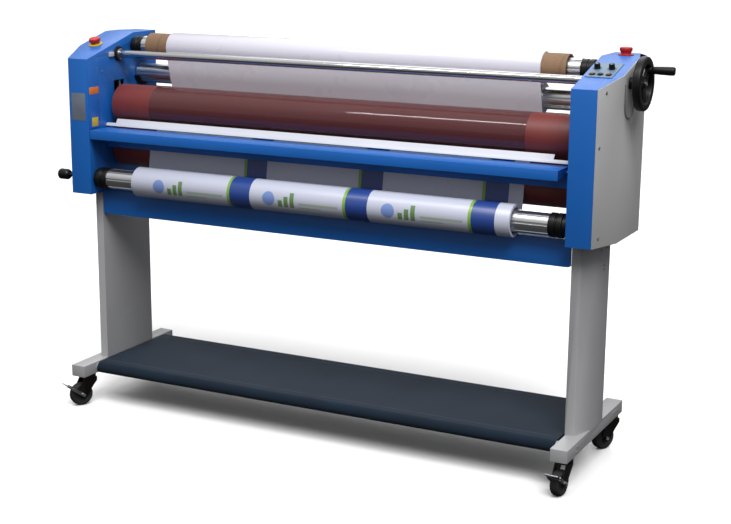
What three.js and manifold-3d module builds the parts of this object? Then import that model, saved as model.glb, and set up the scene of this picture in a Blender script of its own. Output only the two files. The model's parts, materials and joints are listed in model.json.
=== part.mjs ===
// Cold roll laminator on a wheeled stand: two end cabinets carry a pair of silicone rollers, a film
// supply roll, a liner take-up, a print roll and a tilting feed table. Millimetres, +Z up, +X along
// the rollers towards the control end, -Y towards the operator. The origin is on the floor.
import * as THREE from "three";
import { mergeVertices } from "three/addons/utils/BufferGeometryUtils.js";
import Module from "manifold-3d";

const wasm = await Module();
wasm.setup();

// ---- Driving dimensions ------------------------------------------------------------------------

const GAP = 0.3; // between pieces that touch
const PLAY = 0.5; // round a shaft, slide or sleeve that moves
const SPAN = 1580; // clear width between the two cabinets

const CASTER = {
  radius: 37.5,
  width: 28,
  trail: 28,
  axle: 4,
  sheet: 2.5,
  side: 1.5,
  headRadius: 24,
  headRise: 15,
  headHeight: 14,
  tread: 25,
  treadAngle: 35,
};
const FOOT = { length: 500, width: 50, height: 37, wall: 3, offset: 3, front: 52, rear: 35 };
const COLUMN = { length: 554, depth: 252, face: 27, width: 52, flat: 109, wall: 3, offset: 1 };
const CABINET = {
  front: -185,
  depth: 372,
  height: 495.5,
  face: 427,
  slope: 248,
  faceWidth: 73.6,
  width: 110,
  frontChamfer: 109,
  rearChamfer: 57,
  plate: 6,
  skin: 2,
};
const APRON = { y: -125, drop: 70.5, height: 78, depth: 30, sheet: 3, corner: 12 };

const ROLLER = { radius: 65, rubber: 12, wall: 8, y: -20, above: 272, inset: 15, nip: 2.5 };
const JOURNAL = { roller: 15, shaft: 10, bore: 6, reach: 12 };
const BLOCK = { width: 55, below: 30, above: 32, thick: 24, slotBelow: 10, slotTop: 78 };
const LIFT = { y: -22, above: 433, radius: 12.5, neck: 8, module: 2, teeth: 12, travel: 24 };
const RACK = { width: 12, back: 8, top: 12 };

const SHAFT = { radius: 31.5, wall: 3 };
const SUPPLY = { y: 64, above: 454, core: 42, coreBore: 38.2, film: 46, left: -741, right: 738 };
const FILM = { left: -633, right: 627, coreLeft: -717, coreRight: 700, sheet: 0.7 };
const LINER = { behind: 33, above: 363, radius: 43.5, left: -647, right: 616 };
const PEEL = { behind: 21, above: 315, radius: 12.5 };
const PRINT = { y: -148, above: 50, radius: 47, left: -738, right: 736 };
const MEDIA = { left: -629, right: 631, sheet: 0.7, tail: 90 };
const CHUCK = { supply: 30, print: 34, clear: 4 };

const TABLE = { front: -187, lip: 28, rearLip: 62, sheet: 2.5, end: 3, pin: 5, clear: 12, side: 4,
  right: 763 };
const TABLE_PIVOT = { behind: 15, below: 15 };
const GUARD = { left: -755, right: 716, sheet: 2, rise: 22, run: 15, above: 4, clear: 11 };

const WHEEL = { rim: 64.5, bar: 9, web: 4, hub: 17, hubLength: 44, boss: 12, bossRise: 9, plane: 39,
  crank: 52, angle: 40 };
const GRIP = { radius: 12, length: 62, pin: 4 };
const PANEL = { left: 7, width: 76, length: 108, sheet: 1.5, y: -46 };
const KNOB = { radius: 9, height: 15, y: 9 };
const BUTTON = { radius: 6, above: 4, below: 5, y: -35 };
const ESTOP = { base: 22, collar: 14, baseHeight: 8, cap: 18, capHeight: 10, stem: 6, lift: 5 };
const TENSION = { radius: 17, length: 40, stud: 6, studLength: 22 };

const SPROCKET = { driven: 40, driver: 20, teeth: 20, driverTeeth: 10, tooth: 4, thick: 5, x: 8 };
const CHAIN = { thick: 4, width: 4 };
const MOTOR = { y: 78, above: 57, radius: 42, x: 24, length: 78, shaft: 6 };
const INLET = { x: 30, above: 25, width: 30, height: 24, depth: 12, wall: 2.5 };
const RAIL = { radius: 15, front: -193, rear: 205, cloth: 3, side: 4 };

const HALF = SPAN / 2;
const HEAD_Z = 2 * CASTER.radius + CASTER.headRise;
const FOOT_Z = HEAD_Z + CASTER.headHeight;
const COLUMN_Z = FOOT_Z + FOOT.height;
const CABINET_Z = COLUMN_Z + COLUMN.length;
const CABINET_BACK = CABINET.front + CABINET.depth;
const CABINET_TOP = CABINET_Z + CABINET.height;
const CABINET_FACE = CABINET_Z + CABINET.face;
const SLOPE = Math.atan2(CABINET_TOP - CABINET_FACE, CABINET.slope);
const OUTSIDE = HALF + CABINET.width;
const APRON_BOTTOM = CABINET_Z - APRON.drop;
const UPPER_Z = CABINET_Z + ROLLER.above;
const LOWER_Z = UPPER_Z - 2 * ROLLER.radius - ROLLER.nip;
const NIP_Z = LOWER_Z + ROLLER.radius + ROLLER.nip / 2;
const SUPPLY_Z = CABINET_Z + SUPPLY.above;
const LINER_Z = CABINET_Z + LINER.above;
const PEEL_Z = CABINET_Z + PEEL.above;
const PEEL_Y = ROLLER.y + ROLLER.radius + PEEL.behind;
const LINER_Y = PEEL_Y + LINER.behind;
const PRINT_Z = CABINET_Z + PRINT.above;
const LIFT_Z = CABINET_Z + LIFT.above;
const MOTOR_Z = CABINET_Z + MOTOR.above;
const TABLE_BACK = ROLLER.y - ROLLER.radius - TABLE.clear;
const PITCH_RADIUS = (LIFT.module * LIFT.teeth) / 2;
const TOOTH_PITCH = Math.PI * LIFT.module;
const JOURNAL_END = HALF + CABINET.plate + JOURNAL.reach;
const GEAR_X = HALF + CABINET.plate + 3;

// ---- Looks -------------------------------------------------------------------------------------

const finish = (color, roughness, metalness) =>
  new THREE.MeshStandardMaterial({ color, roughness, metalness });
const BLUE = finish(0x2f66c4, 0.4, 0.1);
const GREY = finish(0xa6a6a8, 0.5, 0.1);
const SILVER = finish(0x9b9da3, 0.45, 0.3);
const STEEL = finish(0x8e9096, 0.35, 0.9);
const CHROME = finish(0xd8d8da, 0.12, 1.0);
const ALUMINIUM = finish(0xc9cacd, 0.35, 0.9);
const RUBBER = finish(0x7a2f27, 0.45, 0.0);
const BLACK = finish(0x18181a, 0.5, 0.0);
const WHITE = finish(0xf2f2f4, 0.35, 0.0);
const CARD = finish(0x96714f, 0.85, 0.0);
const NAVY = finish(0x26354a, 0.9, 0.0);
const RED = finish(0xc0202a, 0.35, 0.0);
const YELLOW = finish(0xe0c020, 0.45, 0.0);
const ZINC = finish(0x9a978c, 0.4, 0.8);

// ---- Shape helpers -----------------------------------------------------------------------------

// A closed three.js geometry as a manifold solid.
function solid(geometry) {
  const bare = new THREE.BufferGeometry();
  bare.setAttribute("position", geometry.getAttribute("position"));
  bare.setIndex(geometry.getIndex());
  const merged = mergeVertices(bare, 1e-4);
  const index = merged.getIndex().array;
  const kept = [];
  for (let i = 0; i < index.length; i += 3) {
    const [a, b, c] = [index[i], index[i + 1], index[i + 2]];
    if (a !== b && b !== c && c !== a) kept.push(a, b, c);
  }
  const vertProperties = new Float32Array(merged.getAttribute("position").array);
  const triVerts = new Uint32Array(kept);
  return new wasm.Manifold(new wasm.Mesh({ numProp: 3, vertProperties, triVerts }));
}

function geometryOf(shape) {
  const { vertProperties, triVerts } = shape.getMesh();
  const geometry = new THREE.BufferGeometry();
  geometry.setAttribute("position", new THREE.BufferAttribute(vertProperties, 3));
  geometry.setIndex(new THREE.BufferAttribute(triVerts, 1));
  geometry.computeVertexNormals();
  return geometry;
}

// A flat outline from corners [u, v], or [u, v, radius] where the corner is rounded.
function outline(corners) {
  const shape = new THREE.Shape();
  corners.forEach(([u, v, radius = 0], i) => {
    const here = new THREE.Vector2(u, v);
    const before = new THREE.Vector2(...corners.at(i - 1).slice(0, 2));
    const after = new THREE.Vector2(...corners[(i + 1) % corners.length].slice(0, 2));
    const start = before.sub(here).setLength(radius).add(here);
    const end = after.sub(here).setLength(radius).add(here);
    if (i === 0) shape.moveTo(start.x, start.y);
    else shape.lineTo(start.x, start.y);
    if (radius > 0) shape.quadraticCurveTo(u, v, end.x, end.y);
  });
  shape.closePath();
  return shape;
}

const asShape = (profile) => (Array.isArray(profile) ? outline(profile) : profile);

// A (y, z) profile swept along X from x0 to x1.
function alongX(profile, x0, x1, curveSegments = 4) {
  const [from, to] = [Math.min(x0, x1), Math.max(x0, x1)];
  const options = { depth: to - from, bevelEnabled: false, curveSegments };
  const geometry = new THREE.ExtrudeGeometry(asShape(profile), options);
  const turn = new THREE.Matrix4().makeBasis(
    new THREE.Vector3(0, 1, 0),
    new THREE.Vector3(0, 0, 1),
    new THREE.Vector3(1, 0, 0),
  );
  return geometry.applyMatrix4(turn).translate(from, 0, 0);
}

// An (x, y) profile swept up from z0 to z1.
function alongZ(profile, z0, z1) {
  const options = { depth: z1 - z0, bevelEnabled: false, curveSegments: 4 };
  return new THREE.ExtrudeGeometry(asShape(profile), options).translate(0, 0, z0);
}

// A profile of [x, radius] points turned about the X axis, or of [z, radius] about the Z axis.
function turned(profile, segments = 20) {
  const points = profile.map(([x, radius]) => new THREE.Vector2(radius, x));
  return new THREE.LatheGeometry(points, segments);
}
const turnedX = (profile, segments) => turned(profile, segments).rotateZ(-Math.PI / 2);
const turnedZ = (profile, segments) => turned(profile, segments).rotateX(Math.PI / 2);

const rodX = (radius, x0, x1, segments = 16) =>
  turnedX([[x0, 0], [x0, radius], [x1, radius], [x1, 0]], segments);
const rodZ = (radius, z0, z1, segments = 20) =>
  turnedZ([[z0, 0], [z0, radius], [z1, radius], [z1, 0]], segments);
const ringX = (inner, outer, x0, x1, segments = 28) =>
  turnedX([[x0, inner], [x0, outer], [x1, outer], [x1, inner], [x0, inner]], segments);

function box(x0, x1, y0, y1, z0, z1) {
  const geometry = new THREE.BoxGeometry(Math.abs(x1 - x0), Math.abs(y1 - y0), Math.abs(z1 - z0));
  return geometry.translate((x0 + x1) / 2, (y0 + y1) / 2, (z0 + z1) / 2);
}

// A convex counter-clockwise outline moved inwards.
function inset(corners, distance) {
  return corners.map(([u, v], i) => {
    const [bu, bv] = corners.at(i - 1);
    const [au, av] = corners[(i + 1) % corners.length];
    const before = new THREE.Vector2(u - bu, v - bv).normalize();
    const after = new THREE.Vector2(au - u, av - v).normalize();
    const step = distance / before.cross(after);
    return [u + (after.x - before.x) * step, v + (after.y - before.y) * step];
  });
}

// The straight run between two circles [y, z, radius]; a side of 1 keeps the circle on its left.
function tangent(first, second, firstSide, secondSide) {
  const [ay, az, ar] = first;
  const [by, bz, br] = second;
  const offset = secondSide * br - firstSide * ar;
  const bearing = Math.atan2(bz - az, by - ay);
  const angle = bearing - Math.asin(offset / Math.hypot(by - ay, bz - az));
  const normal = [-Math.sin(angle), Math.cos(angle)];
  return [
    [ay - normal[0] * firstSide * ar, az - normal[1] * firstSide * ar],
    [by - normal[0] * secondSide * br, bz - normal[1] * secondSide * br],
  ];
}

// A path thickened to its left into a closed outline.
function ribbon(path, thickness) {
  const other = path.map(([y, z], i) => {
    const before = path[Math.max(i - 1, 0)];
    const after = path[Math.min(i + 1, path.length - 1)];
    const run = new THREE.Vector2(after[0] - before[0], after[1] - before[1]).normalize();
    return [y - run.y * thickness, z + run.x * thickness];
  });
  return [...path, ...other.reverse()];
}

const onArc = (y, z, radius, angle) => [y + radius * Math.cos(angle), z + radius * Math.sin(angle)];

// A toothed disc; root and tip are the half widths of a tooth as shares of its pitch.
function toothed(teeth, rootRadius, tipRadius, root = 0.3, tip = 0.12) {
  const points = [];
  const step = (2 * Math.PI) / teeth;
  for (let i = 0; i < teeth; i += 1) {
    points.push(onArc(0, 0, rootRadius, (i - root) * step));
    points.push(onArc(0, 0, tipRadius, (i - tip) * step));
    points.push(onArc(0, 0, tipRadius, (i + tip) * step));
    points.push(onArc(0, 0, rootRadius, (i + root) * step));
  }
  return points;
}

// The loop of a chain round two wheels [y, z, radius].
function loop(first, second, grow) {
  const [ay, az, ar] = first;
  const [by, bz, br] = second;
  const bearing = Math.atan2(bz - az, by - ay);
  const wrap = Math.acos((ar - br) / Math.hypot(by - ay, bz - az));
  const path = new THREE.Path();
  path.absarc(ay, az, ar + grow, bearing + wrap, bearing - wrap + 2 * Math.PI, false);
  path.absarc(by, bz, br + grow, bearing - wrap, bearing + wrap, false);
  return path;
}

// A hollow shaft with a journal at each end, open right through.
function hollowShaft(radius, wall, left, right, journal, end, segments = 24) {
  return turnedX(
    [
      [-end, JOURNAL.bore],
      [-end, journal],
      [left, journal],
      [left, radius],
      [right, radius],
      [right, journal],
      [end, journal],
      [end, JOURNAL.bore],
      [right - wall, JOURNAL.bore],
      [right - wall, radius - wall],
      [left + wall, radius - wall],
      [left + wall, JOURNAL.bore],
      [-end, JOURNAL.bore],
    ],
    segments,
  );
}

// ---- Assembly helpers --------------------------------------------------------------------------

const root = new THREE.Group();

function add(name, shape, material, parent = root) {
  const geometry = shape instanceof THREE.BufferGeometry ? shape : geometryOf(shape);
  const mesh = new THREE.Mesh(geometry, material);
  mesh.name = name;
  parent.add(mesh);
  return mesh;
}

function place(x, y, z) {
  const group = new THREE.Group();
  group.position.set(x, y, z);
  root.add(group);
  return group;
}

const SIDES = [["left", -1], ["right", 1]];

// ---- Stand: legs, apron, shelf -----------------------------------------------------------------

const halfDepth = COLUMN.depth / 2;
const columnPlan = [
  [0, -halfDepth],
  [COLUMN.face, -halfDepth],
  [COLUMN.width, -COLUMN.flat / 2],
  [COLUMN.width, COLUMN.flat / 2],
  [COLUMN.face, halfDepth],
  [0, halfDepth],
];
const footSection = [
  [0, FOOT_Z],
  [FOOT.width, FOOT_Z],
  [FOOT.width, COLUMN_Z],
  [0, COLUMN_Z],
];

for (const [side, s] of SIDES) {
  const inner = s * (HALF + COLUMN.offset);
  const mirror = (points, x) => points.map(([u, v]) => [x + s * u, v]);
  const sunk = COLUMN_Z - FOOT.wall / 2;
  const top = CABINET_Z - GAP;
  const outer = solid(alongZ(mirror(columnPlan, inner), sunk, top));
  const core = solid(alongZ(mirror(inset(columnPlan, COLUMN.wall), inner), sunk - 1, top + 1));
  const footX = s * (HALF + FOOT.offset);
  const footY = FOOT.length / 2;
  const tube = (points, rear, front) =>
    solid(alongZ(points, -rear, front).rotateX(Math.PI / 2));
  const foot = tube(mirror(footSection, footX), footY, footY);
  const footCore = tube(mirror(inset(footSection, FOOT.wall), footX), footY + 1, footY - FOOT.wall);
  add(`${side}_leg`, foot.subtract(footCore).add(outer.subtract(core)), SILVER);
}

const apronTop = APRON_BOTTOM + APRON.height;
const apronBack = APRON.y + APRON.depth;
const apronInside = [
  [APRON.y + APRON.sheet, APRON_BOTTOM + APRON.sheet],
  [apronBack + 1, APRON_BOTTOM + APRON.sheet],
  [apronBack + 1, apronTop - APRON.sheet],
  [APRON.y + APRON.sheet, apronTop - APRON.sheet],
];
const apronReach = HALF - GAP;
const apronFace = [
  [-apronReach, APRON_BOTTOM, APRON.corner],
  [apronReach, APRON_BOTTOM, APRON.corner],
  [apronReach, apronTop],
  [-apronReach, apronTop],
];
const apronBlock = solid(alongZ(apronFace, -apronBack, -APRON.y).rotateX(Math.PI / 2));
const apronHollow = solid(alongX(apronInside, -apronReach - 1, apronReach + 1));
add("front_apron", apronBlock.subtract(apronHollow), BLUE);

const clothRadius = RAIL.radius + GAP + RAIL.cloth;
const railZ = FOOT_Z + FOOT.height / 2;
const railFront = RAIL.front + clothRadius;
const railRear = RAIL.rear - clothRadius;
const railReach = HALF + FOOT.offset - GAP;
add("shelf_rail_front", rodX(RAIL.radius, -railReach, railReach), STEEL)
  .position.set(0, railFront, railZ);
add("shelf_rail_rear", rodX(RAIL.radius, -railReach, railReach), STEEL)
  .position.set(0, railRear, railZ);

const sling = new THREE.Shape();
sling.setFromPoints(loop([railFront, railZ, clothRadius], [railRear, railZ, clothRadius], 0)
  .getPoints(8));
const slingHole = loop([railFront, railZ, clothRadius], [railRear, railZ, clothRadius], -RAIL.cloth);
sling.holes.push(new THREE.Path(slingHole.getPoints(8)));
add("shelf_sling", alongX(sling, -HALF + RAIL.side, HALF - RAIL.side), NAVY);

// ---- Cabinets ----------------------------------------------------------------------------------

const cabinetSide = [
  [CABINET.front, CABINET_Z],
  [CABINET_BACK, CABINET_Z],
  [CABINET_BACK, CABINET_TOP],
  [CABINET.front + CABINET.slope, CABINET_TOP],
  [CABINET.front, CABINET_FACE],
];
const cabinetPlan = [
  [0, CABINET.front],
  [CABINET.faceWidth, CABINET.front],
  [CABINET.width, CABINET.front + CABINET.frontChamfer],
  [CABINET.width, CABINET_BACK - CABINET.rearChamfer],
  [CABINET.faceWidth, CABINET_BACK],
  [0, CABINET_BACK],
];
const slotCentre = (UPPER_Z - BLOCK.below - BLOCK.slotBelow + UPPER_Z + BLOCK.slotTop) / 2;
const slotHeight = BLOCK.below + BLOCK.slotBelow + BLOCK.slotTop;
const pivotY = TABLE_BACK - TABLE_PIVOT.behind;
const pivotZ = NIP_Z - TABLE_PIVOT.below;
const plateHoles = [
  [ROLLER.y, LOWER_Z, JOURNAL.roller],
  [SUPPLY.y, SUPPLY_Z, JOURNAL.shaft],
  [LINER_Y, LINER_Z, JOURNAL.shaft],
  [PEEL_Y, PEEL_Z, JOURNAL.shaft],
  [PRINT.y, PRINT_Z, JOURNAL.shaft],
  [LIFT.y, LIFT_Z, LIFT.neck],
  [pivotY, pivotZ, TABLE.pin],
];
const slopePoint = (y) => CABINET_FACE + (y - CABINET.front) * Math.tan(SLOPE);
const panelX = HALF + PANEL.left + PANEL.width / 2;
const buttonXs = [-1, 0, 1].map((i) => (i * PANEL.width) / 3.3);

// The group whose +Z is the slope's outward normal at depth y.
function onSlope(x, y) {
  const group = place(x, y, slopePoint(y));
  group.rotation.x = SLOPE;
  group.updateMatrixWorld(true);
  return group;
}
const panelGroup = onSlope(panelX, PANEL.y);

for (const [side, s] of SIDES) {
  const plan = (points) => {
    const placed = points.map(([u, v]) => [s * (HALF + u), v]);
    return s > 0 ? placed : placed.reverse();
  };
  const rise = [CABINET_Z - 1, CABINET_TOP + 1];
  const block = solid(alongZ(plan(cabinetPlan), ...rise))
    .intersect(solid(alongX(cabinetSide, s * HALF, s * (OUTSIDE + 1))));
  const within = (depth) => solid(alongZ(plan(inset(cabinetPlan, depth)), ...rise));
  const strip = (reach) =>
    solid(box(s * (HALF - 1), s * (HALF + reach), CABINET.front - 1, CABINET_BACK + 1, ...rise));

  const under = CABINET.skin + GAP;
  let shell = block.intersect(within(under).add(strip(CABINET.faceWidth - GAP)));
  const hollow = alongX(inset(cabinetSide, CABINET.skin), s * (HALF + CABINET.plate), s * OUTSIDE);
  shell = shell.subtract(solid(hollow));
  const [near, far] = [s * (HALF - 1), s * (HALF + CABINET.plate + 1)];
  for (const [y, z, radius] of plateHoles) {
    const hole = rodX(radius + PLAY, Math.min(near, far), Math.max(near, far));
    shell = shell.subtract(solid(hole.translate(0, y, z)));
  }
  const slotHalf = BLOCK.width / 2 + PLAY;
  const [slotLow, slotHigh] = [slotCentre - slotHeight / 2, slotCentre + slotHeight / 2];
  const slot = box(near, far, ROLLER.y - slotHalf, ROLLER.y + slotHalf, slotLow, slotHigh);
  shell = shell.subtract(solid(slot));
  if (s > 0) {
    for (const x of buttonXs) {
      const reach = BUTTON.below + 2;
      const hole = rodZ(BUTTON.radius + PLAY, -reach, reach).translate(x, BUTTON.y, 0);
      shell = shell.subtract(solid(hole.applyMatrix4(panelGroup.matrixWorld)));
    }
  }
  add(`${side}_cabinet`, shell, BLUE);

  let cover = block.subtract(within(CABINET.skin)).subtract(strip(CABINET.faceWidth));
  const [holeY, holeZ, holeR] =
    s > 0 ? [LIFT.y, LIFT_Z, LIFT.neck] : [PRINT.y, PRINT_Z, TENSION.stud];
  const [coverNear, coverFar] = [s * (HALF + CABINET.faceWidth), s * (OUTSIDE + 1)];
  const passage = rodX(holeR + PLAY, Math.min(coverNear, coverFar), Math.max(coverNear, coverFar));
  cover = cover.subtract(solid(passage.translate(0, holeY, holeZ)));
  add(`${side}_side_cover`, cover, s > 0 ? GREY : BLUE);
}

// ---- Controls ----------------------------------------------------------------------------------

let panel = solid(box(-PANEL.width / 2, PANEL.width / 2, -PANEL.length / 2, PANEL.length / 2,
  GAP, GAP + PANEL.sheet));
for (const x of buttonXs) {
  panel = panel.subtract(solid(rodZ(BUTTON.radius + PLAY, -1, PANEL.sheet + 1)
    .translate(x, BUTTON.y, 0)));
}
add("control_panel", panel, GREY, panelGroup);

const panelTop = GAP + PANEL.sheet;
for (const [name, share] of [["speed_knob", -0.3], ["pressure_knob", 0.24]]) {
  const profile = [
    [0, 0],
    [0, KNOB.radius],
    [KNOB.height - 2, KNOB.radius * 0.85],
    [KNOB.height, KNOB.radius * 0.7],
    [KNOB.height, 0],
  ];
  add(name, turnedZ(profile, 20), BLACK, panelGroup)
    .position.set(share * PANEL.width, KNOB.y, panelTop + GAP);
}
["forward_button", "stop_button", "reverse_button"].forEach((name, i) => {
  const profile = [
    [-BUTTON.below, 0],
    [-BUTTON.below, BUTTON.radius],
    [BUTTON.above, BUTTON.radius],
    [BUTTON.above, 0],
  ];
  add(name, turnedZ(profile, 16), BLACK, panelGroup)
    .position.set(buttonXs[i], BUTTON.y, panelTop);
});

const estopPlaces = {
  left: onSlope(-HALF - CABINET.faceWidth * 0.78, CABINET.front + CABINET.slope / 2),
  right: place(HALF + CABINET.faceWidth * 0.78, CABINET_BACK - CABINET.rearChamfer * 1.5,
    CABINET_TOP),
};
for (const [side] of SIDES) {
  const base = turnedZ([
    [0, 0],
    [0, ESTOP.base],
    [3, ESTOP.base],
    [3, ESTOP.collar],
    [ESTOP.baseHeight, ESTOP.collar],
    [ESTOP.baseHeight, ESTOP.stem + PLAY],
    [1, ESTOP.stem + PLAY],
    [1, 0],
  ]);
  add(`${side}_estop_base`, base, side === "left" ? YELLOW : BLACK, estopPlaces[side])
    .position.z = GAP;
  const under = ESTOP.baseHeight + ESTOP.lift;
  const cap = turnedZ([
    [ESTOP.lift + 2, 0],
    [ESTOP.lift + 2, ESTOP.stem],
    [under, ESTOP.stem],
    [under, ESTOP.cap - 2],
    [under + 3, ESTOP.cap],
    [under + ESTOP.capHeight - 3, ESTOP.cap],
    [under + ESTOP.capHeight, ESTOP.cap - 4],
    [under + ESTOP.capHeight, 0],
  ]);
  add(`${side}_estop_button`, cap, RED, estopPlaces[side]).position.z = GAP;
}

// ---- Pressure lift: shaft with pinions, racks on the bearing blocks, handwheel ------------------

const neckEnd = OUTSIDE + WHEEL.hubLength - 4;
const liftEnd = GEAR_X + RACK.width;
let liftShaft = solid(turnedX([
  [-liftEnd, 0],
  [-liftEnd, LIFT.neck],
  [-HALF + GAP, LIFT.neck],
  [-HALF + GAP, LIFT.radius],
  [HALF - GAP, LIFT.radius],
  [HALF - GAP, LIFT.neck],
  [neckEnd, LIFT.neck],
  [neckEnd, 0],
]));
const pinion = toothed(LIFT.teeth, PITCH_RADIUS - 1.35 * LIFT.module,
  PITCH_RADIUS + 0.9 * LIFT.module);
for (const [, s] of SIDES) {
  liftShaft = liftShaft.add(solid(alongX(pinion, s * GEAR_X, s * (GEAR_X + RACK.width))));
}
add("lift_shaft", liftShaft, CHROME).position.set(0, LIFT.y, LIFT_Z);

const rackFace = LIFT.y + PITCH_RADIUS;
const tipDepth = 0.95 * LIFT.module;
const rootDepth = 1.25 * LIFT.module;
const rackTop = LIFT_Z + RACK.top;
const rackLow = LIFT_Z - LIFT.travel - RACK.top;
const blockTop = UPPER_Z + BLOCK.above;
const rackProfile = [
  [rackFace + rootDepth + RACK.back, blockTop - 1],
  [rackFace + rootDepth + RACK.back, rackTop],
  [rackFace + rootDepth, rackTop],
];
const firstTooth = Math.floor(RACK.top / TOOTH_PITCH) - 0.5;
for (let k = firstTooth; LIFT_Z + k * TOOTH_PITCH > rackLow; k -= 1) {
  const z = LIFT_Z + k * TOOTH_PITCH;
  rackProfile.push([rackFace + rootDepth, z + 0.29 * TOOTH_PITCH]);
  rackProfile.push([rackFace - tipDepth, z + 0.1 * TOOTH_PITCH]);
  rackProfile.push([rackFace - tipDepth, z - 0.1 * TOOTH_PITCH]);
  rackProfile.push([rackFace + rootDepth, z - 0.29 * TOOTH_PITCH]);
}
rackProfile.push([rackFace + rootDepth, blockTop - 1]);

for (const [side, s] of SIDES) {
  const x0 = s * (HALF + 1);
  const x1 = s * (HALF + 1 + BLOCK.thick);
  const block = solid(box(x0, x1, ROLLER.y - BLOCK.width / 2, ROLLER.y + BLOCK.width / 2,
    UPPER_Z - BLOCK.below, blockTop));
  const [from, to] = [Math.min(x0, x1) - 1, Math.max(x0, x1) + 1];
  const bore = rodX(JOURNAL.roller + PLAY, from, to).translate(0, ROLLER.y, UPPER_Z);
  const rack = alongX(rackProfile, s * GEAR_X, s * (GEAR_X + RACK.width));
  add(`${side}_bearing_block`, block.subtract(solid(bore)).add(solid(rack)), STEEL);
}

const crankY = WHEEL.crank * Math.cos(THREE.MathUtils.degToRad(WHEEL.angle));
const crankZ = WHEEL.crank * Math.sin(THREE.MathUtils.degToRad(WHEEL.angle));
const wheelGroup = place(OUTSIDE, LIFT.y, LIFT_Z);
const rim = new THREE.TorusGeometry(WHEEL.rim, WHEEL.bar, 8, 28).rotateY(Math.PI / 2)
  .translate(WHEEL.plane, 0, 0);
let handwheel = solid(rim).add(solid(rodX(WHEEL.hub, 1, WHEEL.hubLength)));
for (const angle of [WHEEL.angle, WHEEL.angle + 120, WHEEL.angle + 240]) {
  const spoke = box(WHEEL.plane - WHEEL.web, WHEEL.plane + WHEEL.web, 0, WHEEL.rim,
    -WHEEL.web * 1.5, WHEEL.web * 1.5);
  handwheel = handwheel.add(solid(spoke.rotateX(THREE.MathUtils.degToRad(angle))));
}
const bossFace = WHEEL.plane + WHEEL.bossRise;
handwheel = handwheel
  .add(solid(rodX(WHEEL.boss, WHEEL.plane, bossFace).translate(0, crankY, crankZ)))
  .add(solid(rodX(GRIP.pin, WHEEL.plane, bossFace + GRIP.length - 8).translate(0, crankY, crankZ)))
  .subtract(solid(rodX(LIFT.neck + GAP, 0, WHEEL.hubLength - 3)));
add("handwheel", handwheel, BLACK, wheelGroup);
const gripBore = GRIP.pin + PLAY;
add("crank_grip", turnedX([
  [GRIP.length - 6, 0],
  [GRIP.length - 6, gripBore],
  [0, gripBore],
  [0, GRIP.radius * 0.85],
  [4, GRIP.radius],
  [GRIP.length - 3, GRIP.radius],
  [GRIP.length, GRIP.radius * 0.8],
  [GRIP.length, 0],
]), BLACK, wheelGroup).position.set(bossFace + PLAY, crankY, crankZ);

// ---- Laminating rollers ------------------------------------------------------------------------

const coreRadius = ROLLER.radius - ROLLER.rubber;
const faceReach = HALF - ROLLER.inset;
const blockReach = HALF + 1 + BLOCK.thick;
const rollerCore = () =>
  hollowShaft(coreRadius - GAP, ROLLER.wall, -faceReach, faceReach, JOURNAL.roller, blockReach, 32);
const rollerSleeve = () => ringX(coreRadius, ROLLER.radius, -faceReach, faceReach, 40);

add("top_roller_core", rollerCore(), STEEL).position.set(0, ROLLER.y, UPPER_Z);
add("top_roller_sleeve", rollerSleeve(), RUBBER).position.set(0, ROLLER.y, UPPER_Z);

const drivenX = HALF + CABINET.plate + SPROCKET.x;
const sprocket = (teeth, radius) =>
  alongX(toothed(teeth, radius - SPROCKET.tooth, radius), drivenX, drivenX + SPROCKET.thick);
const bored = solid(sprocket(SPROCKET.teeth, SPROCKET.driven))
  .subtract(solid(rodX(JOURNAL.roller - 1, drivenX - 1, drivenX + SPROCKET.thick + 1)));
add("lower_roller_core", solid(rollerCore()).add(bored), STEEL)
  .position.set(0, ROLLER.y, LOWER_Z);
add("lower_roller_sleeve", rollerSleeve(), RUBBER).position.set(0, ROLLER.y, LOWER_Z);

// ---- Drive in the right cabinet ----------------------------------------------------------------

const motorX = HALF + MOTOR.x;
const motorFoot = box(motorX + 8, motorX + MOTOR.length - 8, MOTOR.y - MOTOR.radius * 0.7,
  MOTOR.y + MOTOR.radius * 0.7, CABINET_Z + CABINET.skin + GAP, MOTOR_Z);
const motorBody = solid(rodX(MOTOR.radius, motorX, motorX + MOTOR.length, 32)
  .translate(0, MOTOR.y, MOTOR_Z)).add(solid(motorFoot));
add("drive_motor", motorBody, BLACK);
const motorShaft = solid(rodX(MOTOR.shaft, drivenX - 2, motorX - GAP));
add("motor_sprocket", solid(sprocket(SPROCKET.driverTeeth, SPROCKET.driver)).add(motorShaft), STEEL)
  .position.set(0, MOTOR.y, MOTOR_Z);

const wheels = [
  [ROLLER.y, LOWER_Z, SPROCKET.driven + PLAY],
  [MOTOR.y, MOTOR_Z, SPROCKET.driver + PLAY],
];
const chain = new THREE.Shape(loop(...wheels, CHAIN.thick).getPoints(8));
chain.holes.push(new THREE.Path(loop(...wheels, 0).getPoints(8)));
const chainX = drivenX + (SPROCKET.thick - CHAIN.width) / 2;
add("drive_chain", alongX(chain, chainX, chainX + CHAIN.width), STEEL);

const inletX = HALF + INLET.x;
const inletZ = CABINET_Z + INLET.above;
const inletBack = CABINET_BACK + GAP + INLET.depth;
const inletSocket = box(inletX + INLET.wall, inletX + INLET.width - INLET.wall,
  CABINET_BACK + GAP + INLET.wall, inletBack + 1,
  inletZ + INLET.wall, inletZ + INLET.height - INLET.wall);
add("power_inlet", solid(box(inletX, inletX + INLET.width, CABINET_BACK + GAP, inletBack,
  inletZ, inletZ + INLET.height)).subtract(solid(inletSocket)), BLACK);

// ---- Film supply, liner take-up, print roll -----------------------------------------------------

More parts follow.
